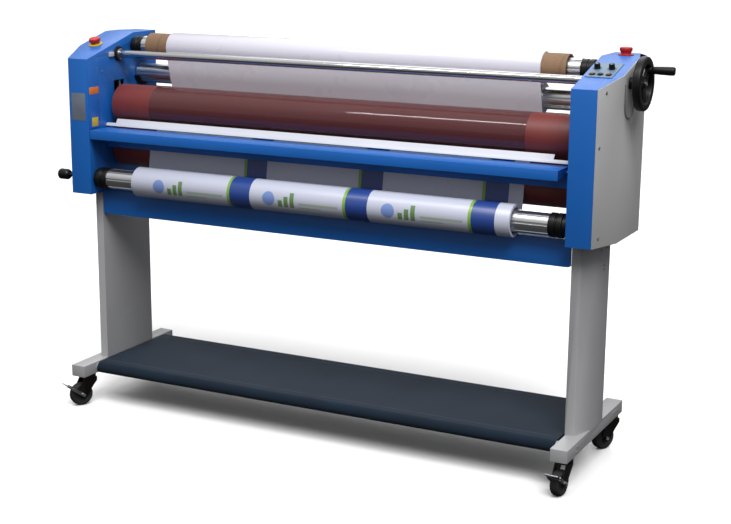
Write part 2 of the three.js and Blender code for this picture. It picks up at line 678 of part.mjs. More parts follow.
function chucks(prefix, group, radius, left, right) {
  const end = HALF - CHUCK.clear;
  add(`${prefix}_chuck_left`, ringX(JOURNAL.shaft + GAP, radius, -end, left - GAP), BLACK, group);
  add(`${prefix}_chuck_right`, ringX(JOURNAL.shaft + GAP, radius, right + GAP, end), BLACK, group);
}
const plainShaft = (radius, wall, left, right) =>
  hollowShaft(radius, wall, left, right, JOURNAL.shaft, JOURNAL_END);

const supply = place(0, SUPPLY.y, SUPPLY_Z);
add("supply_shaft", plainShaft(SHAFT.radius, SHAFT.wall, SUPPLY.left, SUPPLY.right), ALUMINIUM,
  supply);
add("supply_core", ringX(SUPPLY.coreBore, SUPPLY.core, FILM.coreLeft, FILM.coreRight), CARD,
  supply);
add("supply_film", ringX(SUPPLY.core + GAP, SUPPLY.film, FILM.left, FILM.right, 32), WHITE, supply);
chucks("supply", supply, CHUCK.supply, SUPPLY.left, SUPPLY.right);

const takeup = place(0, LINER_Y, LINER_Z);
const takeupReach = HALF - CHUCK.clear;
add("takeup_shaft", plainShaft(SHAFT.radius, SHAFT.wall, -takeupReach, takeupReach), ALUMINIUM,
  takeup);
add("liner_roll", ringX(SHAFT.radius + GAP, LINER.radius, LINER.left, LINER.right, 32), WHITE,
  takeup);

add("peel_idler", turnedX([
  [-JOURNAL_END, 0],
  [-JOURNAL_END, JOURNAL.shaft],
  [-HALF + GAP, JOURNAL.shaft],
  [-HALF + GAP, PEEL.radius],
  [HALF - GAP, PEEL.radius],
  [HALF - GAP, JOURNAL.shaft],
  [JOURNAL_END, JOURNAL.shaft],
  [JOURNAL_END, 0],
]), CHROME).position.set(0, PEEL_Y, PEEL_Z);

const print = place(0, PRINT.y, PRINT_Z);
add("print_shaft", plainShaft(SHAFT.radius, SHAFT.wall, PRINT.left, PRINT.right), ALUMINIUM, print);
add("print_roll", ringX(SUPPLY.coreBore, PRINT.radius, MEDIA.left, MEDIA.right, 32), WHITE, print);
chucks("print", print, CHUCK.print, PRINT.left, PRINT.right);

const studEnd = -OUTSIDE - TENSION.length;
add("print_tension_knob", turnedX([
  [studEnd, 0],
  [studEnd, TENSION.radius - 3],
  [studEnd + 4, TENSION.radius],
  [-OUTSIDE - 8, TENSION.radius],
  [-OUTSIDE - 1, TENSION.radius * 0.7],
  [-OUTSIDE - 1, TENSION.stud],
  [-OUTSIDE + TENSION.studLength, TENSION.stud],
  [-OUTSIDE + TENSION.studLength, 0],
], 24), BLACK).position.set(0, PRINT.y, PRINT_Z);

// ---- Webs --------------------------------------------------------------------------------------

const filmRun = tangent(
  [SUPPLY.y, SUPPLY_Z, SUPPLY.film + PLAY + FILM.sheet],
  [PEEL_Y, PEEL_Z, PEEL.radius + PLAY + FILM.sheet],
  1,
  1,
);
add("film_web", alongX(ribbon(filmRun, FILM.sheet), FILM.left, FILM.right), WHITE);

const mediaRun = tangent(
  [PRINT.y, PRINT_Z, PRINT.radius + PLAY + MEDIA.sheet],
  [ROLLER.y, LOWER_Z, ROLLER.radius + PLAY],
  1,
  -1,
);
const wrapStart = Math.atan2(mediaRun[1][1] - LOWER_Z, mediaRun[1][0] - ROLLER.y);
const mediaPath = [...mediaRun];
for (let i = 1; i <= 10; i += 1) {
  const angle = wrapStart + ((Math.PI / 2 - wrapStart) * i) / 10;
  mediaPath.push(onArc(ROLLER.y, LOWER_Z, ROLLER.radius + PLAY, angle));
}
mediaPath.push([ROLLER.y + MEDIA.tail, LOWER_Z + ROLLER.radius + PLAY]);
add("print_web", alongX(ribbon(mediaPath, MEDIA.sheet), MEDIA.left, MEDIA.right), WHITE);

// ---- Feed table and nip guard ------------------------------------------------------------------

const tableTop = NIP_Z;
const tableSection = [
  [TABLE.front, tableTop - TABLE.lip],
  [TABLE.front + TABLE.sheet, tableTop - TABLE.lip],
  [TABLE.front + TABLE.sheet, tableTop - TABLE.sheet],
  [TABLE_BACK - TABLE.sheet, tableTop - TABLE.sheet],
  [TABLE_BACK - TABLE.sheet, tableTop - TABLE.rearLip],
  [TABLE_BACK, tableTop - TABLE.rearLip],
  [TABLE_BACK, tableTop],
  [TABLE.front, tableTop],
];
const endInset = TABLE.sheet / 2;
const tableEnd = [
  [TABLE.front + endInset, tableTop - TABLE.lip + endInset],
  [TABLE_BACK - endInset, tableTop - TABLE.lip + endInset],
  [TABLE_BACK - endInset, tableTop - endInset],
  [TABLE.front + endInset, tableTop - endInset],
];
const tableLeft = -(HALF - TABLE.side);
const pinEnd = HALF + CABINET.plate + TABLE.side;
let table = solid(alongX(tableSection, tableLeft, TABLE.right));
for (const [end, s] of [[tableLeft, -1], [TABLE.right, 1]]) {
  table = table.add(solid(alongX(tableEnd, end - s * TABLE.end, end - s * endInset)));
  const [x0, x1] = [end - (s * TABLE.end) / 2, s * pinEnd];
  const pin = rodX(TABLE.pin, Math.min(x0, x1), Math.max(x0, x1)).translate(0, pivotY, pivotZ);
  table = table.add(solid(pin));
}
add("feed_table", table, BLUE);

const guardY = ROLLER.y - ROLLER.radius - GUARD.clear;
const guardZ = NIP_Z + GUARD.above;
const guardPath = [
  [guardY, guardZ],
  [guardY + GUARD.run, guardZ + GUARD.rise],
];
const guardTab = ribbon([[guardY, guardZ], [guardY + 6, guardZ + 9]], GUARD.sheet);
const guard = solid(alongX(ribbon(guardPath, GUARD.sheet), GUARD.left, GUARD.right))
  .add(solid(alongX(guardTab, -HALF + GAP, HALF - GAP)));
add("nip_guard", guard, ALUMINIUM);

// ---- Casters -----------------------------------------------------------------------------------

const legInner = CASTER.width / 2 + CASTER.side;
const legOuter = legInner + CASTER.sheet;
const armInner = legOuter + PLAY;
const armOuter = armInner + CASTER.sheet;
const axleEnd = armOuter + 1.5;
const legProfile = [
  [CASTER.headRadius - 2, HEAD_Z + 1],
  [-CASTER.headRadius, HEAD_Z + 1],
  [-CASTER.trail - 14, CASTER.radius + 18],
  [-CASTER.trail - 9, CASTER.radius - 8],
  [-CASTER.trail + 9, CASTER.radius - 8],
  [CASTER.headRadius - 2, HEAD_Z - 10],
];

function fork() {
  const head = rodZ(CASTER.headRadius, HEAD_Z, FOOT_Z - GAP);
  const bridge = box(-legOuter, legOuter, -CASTER.headRadius, CASTER.headRadius - 2,
    HEAD_Z - 1, HEAD_Z + 2);
  const axle = rodX(CASTER.axle, -axleEnd, axleEnd, 16).translate(0, -CASTER.trail, CASTER.radius);
  let body = solid(head).add(solid(bridge)).add(solid(axle));
  for (const [, s] of SIDES) {
    body = body.add(solid(alongX(legProfile, s * legInner, s * legOuter)));
  }
  return body;
}

function casterWheel() {
  const bore = CASTER.axle + PLAY;
  const half = CASTER.width / 2;
  const shoulder = CASTER.radius - 3;
  return turnedX([
    [-half, bore],
    [-half, shoulder],
    [-half + 4, CASTER.radius],
    [half - 4, CASTER.radius],
    [half, shoulder],
    [half, bore],
    [-half, bore],
  ], 28);
}

function brakePedal() {
  const inner = CASTER.radius + 5;
  const outer = inner + CASTER.tread;
  const arm = [[-7, -5], [inner + 4, -5], [inner + 4, 5], [-7, 5]];
  let body = solid(box(-armOuter, armOuter, inner, outer, -1.5, 1.5));
  for (const [, s] of SIDES) {
    body = body.add(solid(alongX(arm, s * armInner, s * armOuter)));
  }
  body = body.subtract(solid(rodX(CASTER.axle + PLAY, -axleEnd - 1, axleEnd + 1, 16)));
  return geometryOf(body).rotateX(Math.PI - THREE.MathUtils.degToRad(CASTER.treadAngle));
}

const casterPlaces = [
  ["front_left", -1, -1, -28],
  ["front_right", 1, -1, -6],
  ["rear_left", -1, 1, -20],
  ["rear_right", 1, 1, -30],
];
const footCentre = HALF + FOOT.offset + FOOT.width / 2;
for (const [name, s, end, swivel] of casterPlaces) {
  const y = end < 0 ? -FOOT.length / 2 + FOOT.front : FOOT.length / 2 - FOOT.rear;
  const group = place(s * footCentre, y, 0);
  group.rotation.z = THREE.MathUtils.degToRad(swivel);
  add(`caster_fork_${name}`, fork(), ZINC, group);
  add(`caster_wheel_${name}`, casterWheel(), BLACK, group)
    .position.set(0, -CASTER.trail, CASTER.radius);
  if (end < 0) {
    add(`caster_brake_${name}`, brakePedal(), ZINC, group)
      .position.set(0, -CASTER.trail, CASTER.radius);
  }
}

// The origin goes to the middle of the whole, on the floor.
root.updateMatrixWorld(true);
const whole = new THREE.Box3().setFromObject(root, true);
const middle = whole.getCenter(new THREE.Vector3());
root.position.set(-middle.x, -middle.y, 0);

export default root;
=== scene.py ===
"""Cold roll laminator: the finished looks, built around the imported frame."""

from __future__ import annotations

import json
import logging
import math
from dataclasses import dataclass, field
from enum import Enum
from typing import Callable, Sequence

import bmesh
import bpy
from mathutils import Euler, Matrix, Vector
from mathutils.bvhtree import BVHTree

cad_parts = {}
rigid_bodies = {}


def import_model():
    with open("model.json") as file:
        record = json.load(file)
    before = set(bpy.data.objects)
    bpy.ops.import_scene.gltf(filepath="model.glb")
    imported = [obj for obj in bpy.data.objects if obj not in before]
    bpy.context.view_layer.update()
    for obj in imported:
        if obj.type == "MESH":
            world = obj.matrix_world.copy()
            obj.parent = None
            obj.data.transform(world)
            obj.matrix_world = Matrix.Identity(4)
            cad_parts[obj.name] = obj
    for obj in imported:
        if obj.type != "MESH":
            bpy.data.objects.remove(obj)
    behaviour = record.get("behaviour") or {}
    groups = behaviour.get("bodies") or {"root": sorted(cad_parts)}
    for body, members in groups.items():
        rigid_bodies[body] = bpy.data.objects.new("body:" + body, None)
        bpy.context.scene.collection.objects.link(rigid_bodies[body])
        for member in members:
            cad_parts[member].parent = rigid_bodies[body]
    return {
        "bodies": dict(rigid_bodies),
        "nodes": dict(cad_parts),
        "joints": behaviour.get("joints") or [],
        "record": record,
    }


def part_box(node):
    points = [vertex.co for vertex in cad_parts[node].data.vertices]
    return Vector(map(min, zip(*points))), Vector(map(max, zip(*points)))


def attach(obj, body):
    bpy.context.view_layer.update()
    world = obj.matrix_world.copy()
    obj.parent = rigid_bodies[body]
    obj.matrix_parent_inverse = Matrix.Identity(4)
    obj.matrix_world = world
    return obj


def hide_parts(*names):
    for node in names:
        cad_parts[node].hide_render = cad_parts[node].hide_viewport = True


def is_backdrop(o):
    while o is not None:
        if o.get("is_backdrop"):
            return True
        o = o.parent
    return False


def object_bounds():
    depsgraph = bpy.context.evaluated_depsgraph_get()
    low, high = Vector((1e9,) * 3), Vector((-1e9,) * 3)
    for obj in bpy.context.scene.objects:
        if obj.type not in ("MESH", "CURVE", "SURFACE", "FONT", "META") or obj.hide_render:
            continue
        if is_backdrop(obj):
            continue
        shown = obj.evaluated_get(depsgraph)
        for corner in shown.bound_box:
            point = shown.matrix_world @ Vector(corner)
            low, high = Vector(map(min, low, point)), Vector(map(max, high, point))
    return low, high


LOG = logging.getLogger("laminator")
MM = 0.001
WELD = 2e-5  # corners this close are one corner
FLAT_DEGREES = 0.6  # faces bent less than this are one face
CREASE_DEGREES = 32  # edges bent more than this are softened
BEVEL_PROFILE = 0.6
Colour = tuple[float, float, float]
Profile = list[tuple[float, float]]
X_AXIS = Vector((1, 0, 0))
Z_AXIS = Vector((0, 0, 1))


# ---- Finishes ----------------------------------------------------------------------------------


def linear(red: int, green: int, blue: int) -> Colour:
    """A display colour from 0 to 255 as linear light."""
    return tuple((c / 255 / 12.92) if c < 10.31 else ((c / 255 + 0.055) / 1.055) ** 2.4
                 for c in (red, green, blue))


def shade(colour: Colour, factor: float) -> Colour:
    """The colour made darker or lighter by a factor."""
    return tuple(min(1.0, c * factor) for c in colour)


def show(name: str, data: bpy.types.ID) -> bpy.types.Object:
    """An object made from its data and put in the scene."""
    obj = bpy.data.objects.new(name, data)
    bpy.context.scene.collection.objects.link(obj)
    return obj


class Graph:
    """One material and the nodes that make it."""

    def __init__(self, name: str, roughness: float, metallic: float = 0.0) -> None:
        """Starts a material with a plain surface shader."""
        self.material = bpy.data.materials.new(name)
        self.material.use_nodes = True
        self.tree = self.material.node_tree
        self.tree.nodes.clear()
        out = self.add("ShaderNodeOutputMaterial")
        self.surface = self.add("ShaderNodeBsdfPrincipled")
        self.surface.inputs["Roughness"].default_value = roughness
        self.surface.inputs["Metallic"].default_value = metallic
        self.tree.links.new(self.surface.outputs[0], out.inputs["Surface"])
        self.object_coordinates = self.add("ShaderNodeTexCoord").outputs["Object"]

    def add(self, kind: str) -> bpy.types.Node:
        """A new node of a kind."""
        return self.tree.nodes.new(kind)

    def join(self, source: object, target: bpy.types.NodeSocket) -> None:
        """Links a socket, or sets a plain value."""
        if isinstance(source, bpy.types.NodeSocket):
            self.tree.links.new(source, target)
        elif isinstance(source, tuple) and target.type == "RGBA":
            target.default_value = (*source, 1.0)
        else:
            target.default_value = source

    def mapped(self, scale: Sequence[float], turn: Sequence[float] = (0, 0, 0),
               move: Sequence[float] = (0, 0, 0)) -> bpy.types.NodeSocket:
        """Object coordinates, moved, turned and scaled."""
        node = self.add("ShaderNodeMapping")
        self.join(self.object_coordinates, node.inputs["Vector"])
        node.inputs["Location"].default_value = move
        node.inputs["Rotation"].default_value = turn
        node.inputs["Scale"].default_value = scale
        return node.outputs["Vector"]

    def noise(self, scale: float, detail: float = 3.0, where: object = None
              ) -> bpy.types.NodeSocket:
        """A noise pattern, from 0 to 1."""
        node = self.add("ShaderNodeTexNoise")
        self.join(where or self.object_coordinates, node.inputs["Vector"])
        node.inputs["Scale"].default_value = scale
        node.inputs["Detail"].default_value = detail
        return node.outputs["Fac"]

    def wave(self, scale: float, where: object = None, direction: str = "X",
             distortion: float = 0.0) -> bpy.types.NodeSocket:
        """Parallel bands, from 0 to 1."""
        node = self.add("ShaderNodeTexWave")
        node.bands_direction = direction
        self.join(where or self.object_coordinates, node.inputs["Vector"])
        node.inputs["Scale"].default_value = scale
        node.inputs["Distortion"].default_value = distortion
        return node.outputs["Fac"]

    def ramp(self, fac: object, stops: Sequence[tuple[float, Colour]],
             stepped: bool = False) -> bpy.types.NodeSocket:
        """Colours along a value."""
        node = self.add("ShaderNodeValToRGB")
        node.color_ramp.interpolation = "CONSTANT" if stepped else "LINEAR"
        bands = node.color_ramp.elements
        while len(bands) < len(stops):
            bands.new(0.5)
        for band, (place, colour) in zip(bands, stops):
            band.position = place
            band.color = (*colour, 1.0)
        self.join(fac, node.inputs["Fac"])
        return node.outputs["Color"]

    def math(self, kind: str, first: object, second: object = 0.0) -> bpy.types.NodeSocket:
        """Arithmetic on one or two values."""
        node = self.add("ShaderNodeMath")
        node.operation = kind
        self.join(first, node.inputs[0])
        self.join(second, node.inputs[1])
        return node.outputs[0]

    def blend(self, fac: object, first: object, second: object) -> bpy.types.NodeSocket:
        """A mix of two colours."""
        node = self.add("ShaderNodeMix")
        node.data_type = "RGBA"
        self.join(fac, node.inputs[0])
        self.join(first, node.inputs[6])
        self.join(second, node.inputs[7])
        return node.outputs[2]

    def span(self, fac: object, low: float, high: float) -> bpy.types.NodeSocket:
        """A value from 0 to 1 spread between two others."""
        node = self.add("ShaderNodeMapRange")
        self.join(fac, node.inputs["Value"])
        node.inputs["To Min"].default_value = low
        node.inputs["To Max"].default_value = high
        return node.outputs["Result"]

    def axes(self) -> list[bpy.types.NodeSocket]:
        """Object coordinates as three values."""
        node = self.add("ShaderNodeSeparateXYZ")
        self.join(self.object_coordinates, node.inputs[0])
        return [node.outputs[i] for i in range(3)]

    def bump(self, height: object, depth_mm: float, strength: float = 0.5) -> None:
        """Raises the surface by a pattern, over what is there already."""
        node = self.add("ShaderNodeBump")
        node.inputs["Strength"].default_value = strength
        node.inputs["Distance"].default_value = depth_mm * MM
        self.join(height, node.inputs["Height"])
        normal = self.surface.inputs["Normal"]
        if normal.links:
            self.join(normal.links[0].from_socket, node.inputs["Normal"])
        self.join(node.outputs["Normal"], normal)

    def edge_wear(self, colour: object, worn: Colour) -> bpy.types.NodeSocket:
        """The colour, lighter along sharp edges."""
        geometry = self.add("ShaderNodeNewGeometry")
        edges = self.ramp(geometry.outputs["Pointiness"], [(0.56, (0, 0, 0)), (0.66, (1, 1, 1))])
        return self.blend(self.math("MULTIPLY", edges, 0.45), colour, worn)


@dataclass(frozen=True)
class PowderCoat:
    """Baked paint on sheet steel, with a fine orange peel."""

    name: str
    colour: Colour
    roughness: float = 0.42
    coat: float = 0.15

    def build(self) -> bpy.types.Material:
        """Makes the material."""
        g = Graph(self.name, self.roughness)
        broad = g.noise(3.1, 4)
        colour = g.ramp(broad, [(0.3, shade(self.colour, 0.93)), (0.7, shade(self.colour, 1.05))])
        g.join(g.edge_wear(colour, shade(self.colour, 1.5)), g.surface.inputs["Base Color"])
        g.join(g.span(g.noise(38, 3), self.roughness - 0.07, self.roughness + 0.09),
               g.surface.inputs["Roughness"])
        g.surface.inputs["Coat Weight"].default_value = self.coat
        g.surface.inputs["Coat Roughness"].default_value = 0.3
        g.bump(g.noise(650, 2), 0.06, 0.35)
        g.bump(g.noise(5, 2), 0.5, 0.12)
        return g.material


@dataclass(frozen=True)
class Metal:
    """Bare or plated metal with its grain drawn out along one direction."""

    name: str
    colour: Colour
    roughness: float
    grain: tuple[float, float, float] = (4, 260, 260)
    depth_mm: float = 0.03
    mottle: float = 0.08

    def build(self) -> bpy.types.Material:
        """Makes the material."""
        g = Graph(self.name, self.roughness, 1.0)
        grain = g.noise(1.0, 4, g.mapped(self.grain))
        colour = g.ramp(g.noise(26, 4), [(0.3, shade(self.colour, 1 - self.mottle)),
                                          (0.7, shade(self.colour, 1 + self.mottle))])
        g.join(g.edge_wear(colour, shade(self.colour, 1.25)), g.surface.inputs["Base Color"])
        g.join(g.span(grain, self.roughness * 0.75, self.roughness * 1.3),
               g.surface.inputs["Roughness"])
        g.bump(grain, self.depth_mm, 0.25)
        return g.material


@dataclass(frozen=True)
class Silicone:
    """Ground silicone rubber on the laminating rollers."""

    name: str
    colour: Colour
    roughness: float = 0.5

    def build(self) -> bpy.types.Material:
        """Makes the material."""
        g = Graph(self.name, self.roughness)
        bands = g.noise(1.0, 3, g.mapped((9, 2, 2)))
        colour = g.ramp(bands, [(0.3, shade(self.colour, 0.86)), (0.72, shade(self.colour, 1.12))])
        dust = g.math("MULTIPLY", g.noise(240, 5), 0.03)
        g.join(g.blend(dust, colour, linear(190, 140, 130)), g.surface.inputs["Base Color"])
        g.join(g.span(g.noise(14, 3), self.roughness - 0.1, self.roughness + 0.12),
               g.surface.inputs["Roughness"])
        g.surface.inputs["Sheen Weight"].default_value = 0.1
        g.bump(g.noise(1.0, 3, g.mapped((900, 60, 60))), 0.05, 0.3)
        return g.material


@dataclass(frozen=True)
class Film:
    """Thin plastic film, opaque or clear."""

    name: str
    colour: Colour
    roughness: float = 0.28
    alpha: float = 1.0
    ripple_mm: float = 0.4

    def build(self) -> bpy.types.Material:
        """Makes the material."""
        g = Graph(self.name, self.roughness)
        tone = g.noise(1.0, 3, g.mapped((1.6, 14, 14)))
        g.join(g.ramp(tone, [(0.3, shade(self.colour, 0.95)), (0.7, shade(self.colour, 1.03))]),
               g.surface.inputs["Base Color"])
        g.surface.inputs["Alpha"].default_value = self.alpha
        g.surface.inputs["Coat Weight"].default_value = 0.35
        g.surface.inputs["Coat Roughness"].default_value = 0.08
        g.join(g.span(g.noise(9, 2), self.roughness * 0.8, self.roughness * 1.25),
               g.surface.inputs["Roughness"])
        g.bump(g.noise(1.0, 2, g.mapped((2.4, 30, 30))), self.ripple_mm, 0.2)
        return g.material


@dataclass(frozen=True)
class PrintedMedia:
    """White vinyl printed with a repeat of panels, stripes and plain shapes; its white is darkened
    to a blue-grey as painted shade.
    """

    name: str
    start: float
    right_edge: float
    pitch: float = 0.393
    band_z: float = 0.745
    band: float = 0.12

    def build(self) -> bpy.types.Material:
        """Makes the material."""
        g = Graph(self.name, 0.36)
        x, _, z = g.axes()
        run = g.math("DIVIDE", g.math("SUBTRACT", x, self.start), self.pitch)
        step = g.math("FRACT", run)
        # The white is a darkened blue-grey: painted shade from the feed table over the print roll.
        white, blue, green = (0.46, 0.48, 0.58), linear(34, 62, 130), linear(118, 158, 52)
        stripes = g.ramp(step, [(0, white), (0.794, green), (0.82, blue)], stepped=True)
        along = g.math("MULTIPLY", step, self.pitch)
        up = g.math("SUBTRACT", g.math("WRAP", g.math("SUBTRACT", z, self.band_z), self.band / 2),
                    0.0)
        up.node.inputs[0].links[0].from_node.inputs[2].default_value = -self.band / 2
        far = g.math("SQRT", g.math("ADD", g.math("POWER", g.math("SUBTRACT", along, 0.066), 2.0),
                                    g.math("POWER", up, 2.0)))
        mark = g.blend(g.math("LESS_THAN", far, 0.021), stripes, linear(112, 136, 190))
        for low, high, top in ((0.098, 0.112, -0.002), (0.118, 0.132, 0.010),
                               (0.138, 0.152, 0.022)):
            bar = g.math("MULTIPLY", self.within(g, along, low, high),
                         self.within(g, up, -0.022, top))
            mark = g.blend(bar, mark, linear(96, 128, 78))
        for base, top, reach in ((-0.012, -0.005, 0.298), (-0.022, -0.018, 0.24)):
            line = g.math("MULTIPLY", self.within(g, along, 0.168, reach),
                          self.within(g, up, base, top))
            mark = g.blend(line, mark, linear(150, 166, 146))
        # Outside the print the vinyl takes the same white, with its painted shade.
        edge = g.math("MAXIMUM", g.math("GREATER_THAN", x, self.right_edge),
                      g.math("LESS_THAN", x, self.start))
        g.join(g.blend(edge, mark, white), g.surface.inputs["Base Color"])
        g.surface.inputs["Coat Weight"].default_value = 0.2
        g.surface.inputs["Coat Roughness"].default_value = 0.25
        g.bump(g.noise(1.0, 2, g.mapped((3, 22, 22))), 0.3, 0.15)
        return g.material

    @staticmethod
    def within(g: Graph, value: object, low: float, high: float) -> bpy.types.NodeSocket:
        """One where a value lies between two others."""
        return g.math("MULTIPLY", g.math("GREATER_THAN", value, low),
                      g.math("LESS_THAN", value, high))


@dataclass(frozen=True)
class Cardboard:
    """Spiral-wound core tube."""

    name: str
    colour: Colour

    def build(self) -> bpy.types.Material:
        """Makes the material."""
        g = Graph(self.name, 0.82)
        fibres = g.noise(1.0, 5, g.mapped((70, 420, 420)))
        colour = g.ramp(fibres, [(0.3, shade(self.colour, 0.82)), (0.72, shade(self.colour, 1.12))])
        seam = g.wave(4.5, g.mapped((1, 0.6, 0.6), turn=(0, 0, 0.5)))
        line = g.ramp(seam, [(0.0, (1, 1, 1)), (0.05, (0, 0, 0))])
        g.join(g.blend(g.math("MULTIPLY", line, 0.4), colour, shade(self.colour, 0.5)),
               g.surface.inputs["Base Color"])
        g.bump(fibres, 0.08, 0.3)
        return g.material


@dataclass(frozen=True)
class Canvas:
    """Woven shelf cloth."""

    name: str
    colour: Colour
    thread_mm: float = 1.4

    def build(self) -> bpy.types.Material:
        """Makes the material."""
        g = Graph(self.name, 0.86)
        rate = 1 / (self.thread_mm * MM) / 3.14
        weave = g.math("MULTIPLY", g.wave(rate, direction="X"), g.wave(rate, direction="Y"))
        worn = g.noise(7, 4)
        colour = g.ramp(worn, [(0.3, shade(self.colour, 0.8)), (0.7, shade(self.colour, 1.2))])
        g.join(g.blend(g.math("MULTIPLY", weave, 0.16), colour, shade(self.colour, 1.8)),
               g.surface.inputs["Base Color"])
        g.surface.inputs["Sheen Weight"].default_value = 0.04
        g.surface.inputs["Specular IOR Level"].default_value = 0.2
        g.bump(weave, 0.25, 0.5)
        return g.material


@dataclass(frozen=True)
class Moulded:
    """Moulded plastic or rubber."""

    name: str
    colour: Colour
    roughness: float = 0.45
    grain: float = 420
    depth_mm: float = 0.05

    def build(self) -> bpy.types.Material:
        """Makes the material."""
        g = Graph(self.name, self.roughness)
        colour = g.ramp(g.noise(18, 4), [(0.3, shade(self.colour, 0.88)),
                                          (0.7, shade(self.colour, 1.14))])
        g.join(g.edge_wear(colour, shade(self.colour, 1.3)), g.surface.inputs["Base Color"])
        g.surface.inputs["Specular IOR Level"].default_value = 0.3
        g.join(g.span(g.noise(60, 3), self.roughness - 0.08, self.roughness + 0.1),
               g.surface.inputs["Roughness"])
        g.bump(g.noise(self.grain, 3), self.depth_mm, 0.35)
        return g.material


class Slot(Enum):
    """The record's material slots."""

    BLUE = "blue_paint"
    GREY = "grey_paint"
    SILVER = "silver_paint"
    STEEL = "steel"
    CHROME = "chrome"
    ALUMINIUM = "aluminium"
    SILICONE = "silicone"
    BLACK = "black_plastic"
    WHITE = "white_film"
    PRINT = "print_media"
    CARD = "cardboard"
    CLOTH = "navy_fabric"
    RED = "red_plastic"
    YELLOW = "yellow_plastic"
    ZINC = "zinc"
    TYRE = "tyre_black"


FINISHES: dict[Slot, object] = {
    Slot.BLUE: PowderCoat("blue_powder_coat", linear(18, 92, 172)),
    Slot.GREY: PowderCoat("pale_grey_powder_coat", linear(172, 172, 173), 0.48, 0.1),
    Slot.SILVER: PowderCoat("silver_grey_paint", linear(146, 146, 148), 0.42, 0.15),
    Slot.STEEL: Metal("machined_steel", linear(170, 170, 172), 0.34),
    Slot.CHROME: Metal("hard_chrome", linear(205, 205, 205), 0.13, (2, 90, 90), 0.01, 0.03),
    Slot.ALUMINIUM: Metal("drawn_aluminium", linear(205, 206, 208), 0.3, (3, 420, 420), 0.04, 0.05),
    Slot.SILICONE: Silicone("red_brown_silicone", linear(102, 28, 22)),
    Slot.BLACK: Moulded("black_nylon", linear(8, 8, 9), 0.4),
    Slot.WHITE: Film("white_film", (0.58, 0.57, 0.64)),
    Slot.PRINT: PrintedMedia("printed_vinyl", start=-0.62675, right_edge=0.55475),
    Slot.CARD: Cardboard("core_board", linear(124, 96, 72)),
    Slot.CLOTH: Canvas("navy_canvas", linear(14, 28, 42)),
    Slot.RED: Moulded("red_plastic", linear(168, 34, 32), 0.36, 500, 0.02),
    Slot.YELLOW: Moulded("yellow_plastic", linear(190, 158, 40), 0.42, 500, 0.02),
    Slot.ZINC: Metal("bright_zinc", linear(176, 178, 180), 0.32, (60, 60, 60), 0.05, 0.14),
    Slot.TYRE: Moulded("tyre_rubber", linear(34, 34, 36), 0.72, 160, 0.15),
}
EXTRA_FINISHES: dict[str, tuple[Slot, object]] = {
    "clear": (Slot.WHITE, Film("clear_film", linear(92, 50, 52), 0.07, 0.42, 0.06)),
    "orange": (Slot.YELLOW, Moulded("orange_label", linear(200, 112, 48), 0.5, 300, 0.01)),
    "dark_red": (Slot.RED, Moulded("dark_red_cap", linear(86, 26, 28), 0.35, 500, 0.02)),
    "plate": (Slot.ALUMINIUM, Moulded("rating_plate", linear(96, 104, 116), 0.5, 300, 0.01)),
    # The same white film made much brighter for the web: painted light on the film where it runs
    # between the rolls.
    "web": (Slot.WHITE, Film("painted_light_web_film", (0.84, 0.82, 0.90))),
    "guard": (Slot.ALUMINIUM, PowderCoat("pale_guard", linear(184, 186, 194), 0.4, 0.2)),
    "panel": (Slot.GREY, PowderCoat("panel_grey", linear(88, 112, 132), 0.5, 0.1)),
    # A darker grey for the U-shaped rim below the handwheel: painted shade for its groove.
    "lip": (Slot.GREY, PowderCoat("lip_shade_grey", linear(112, 112, 114), 0.5, 0.1)),
    "fork": (Slot.ZINC, Metal("blackened_steel", linear(62, 58, 54), 0.4, (60, 60, 60), 0.05,
                              0.14)),
    "hub": (Slot.TYRE, Moulded("dark_hub", linear(38, 38, 40), 0.5, 300, 0.04)),
    "ink": (Slot.BLACK, Moulded("dial_ink", linear(40, 42, 46), 0.6, 600, 0.01)),
    "thread": (Slot.CLOTH, Canvas("seam_thread", linear(70, 84, 110), 0.6)),
}


# ---- Mesh making -------------------------------------------------------------------------------


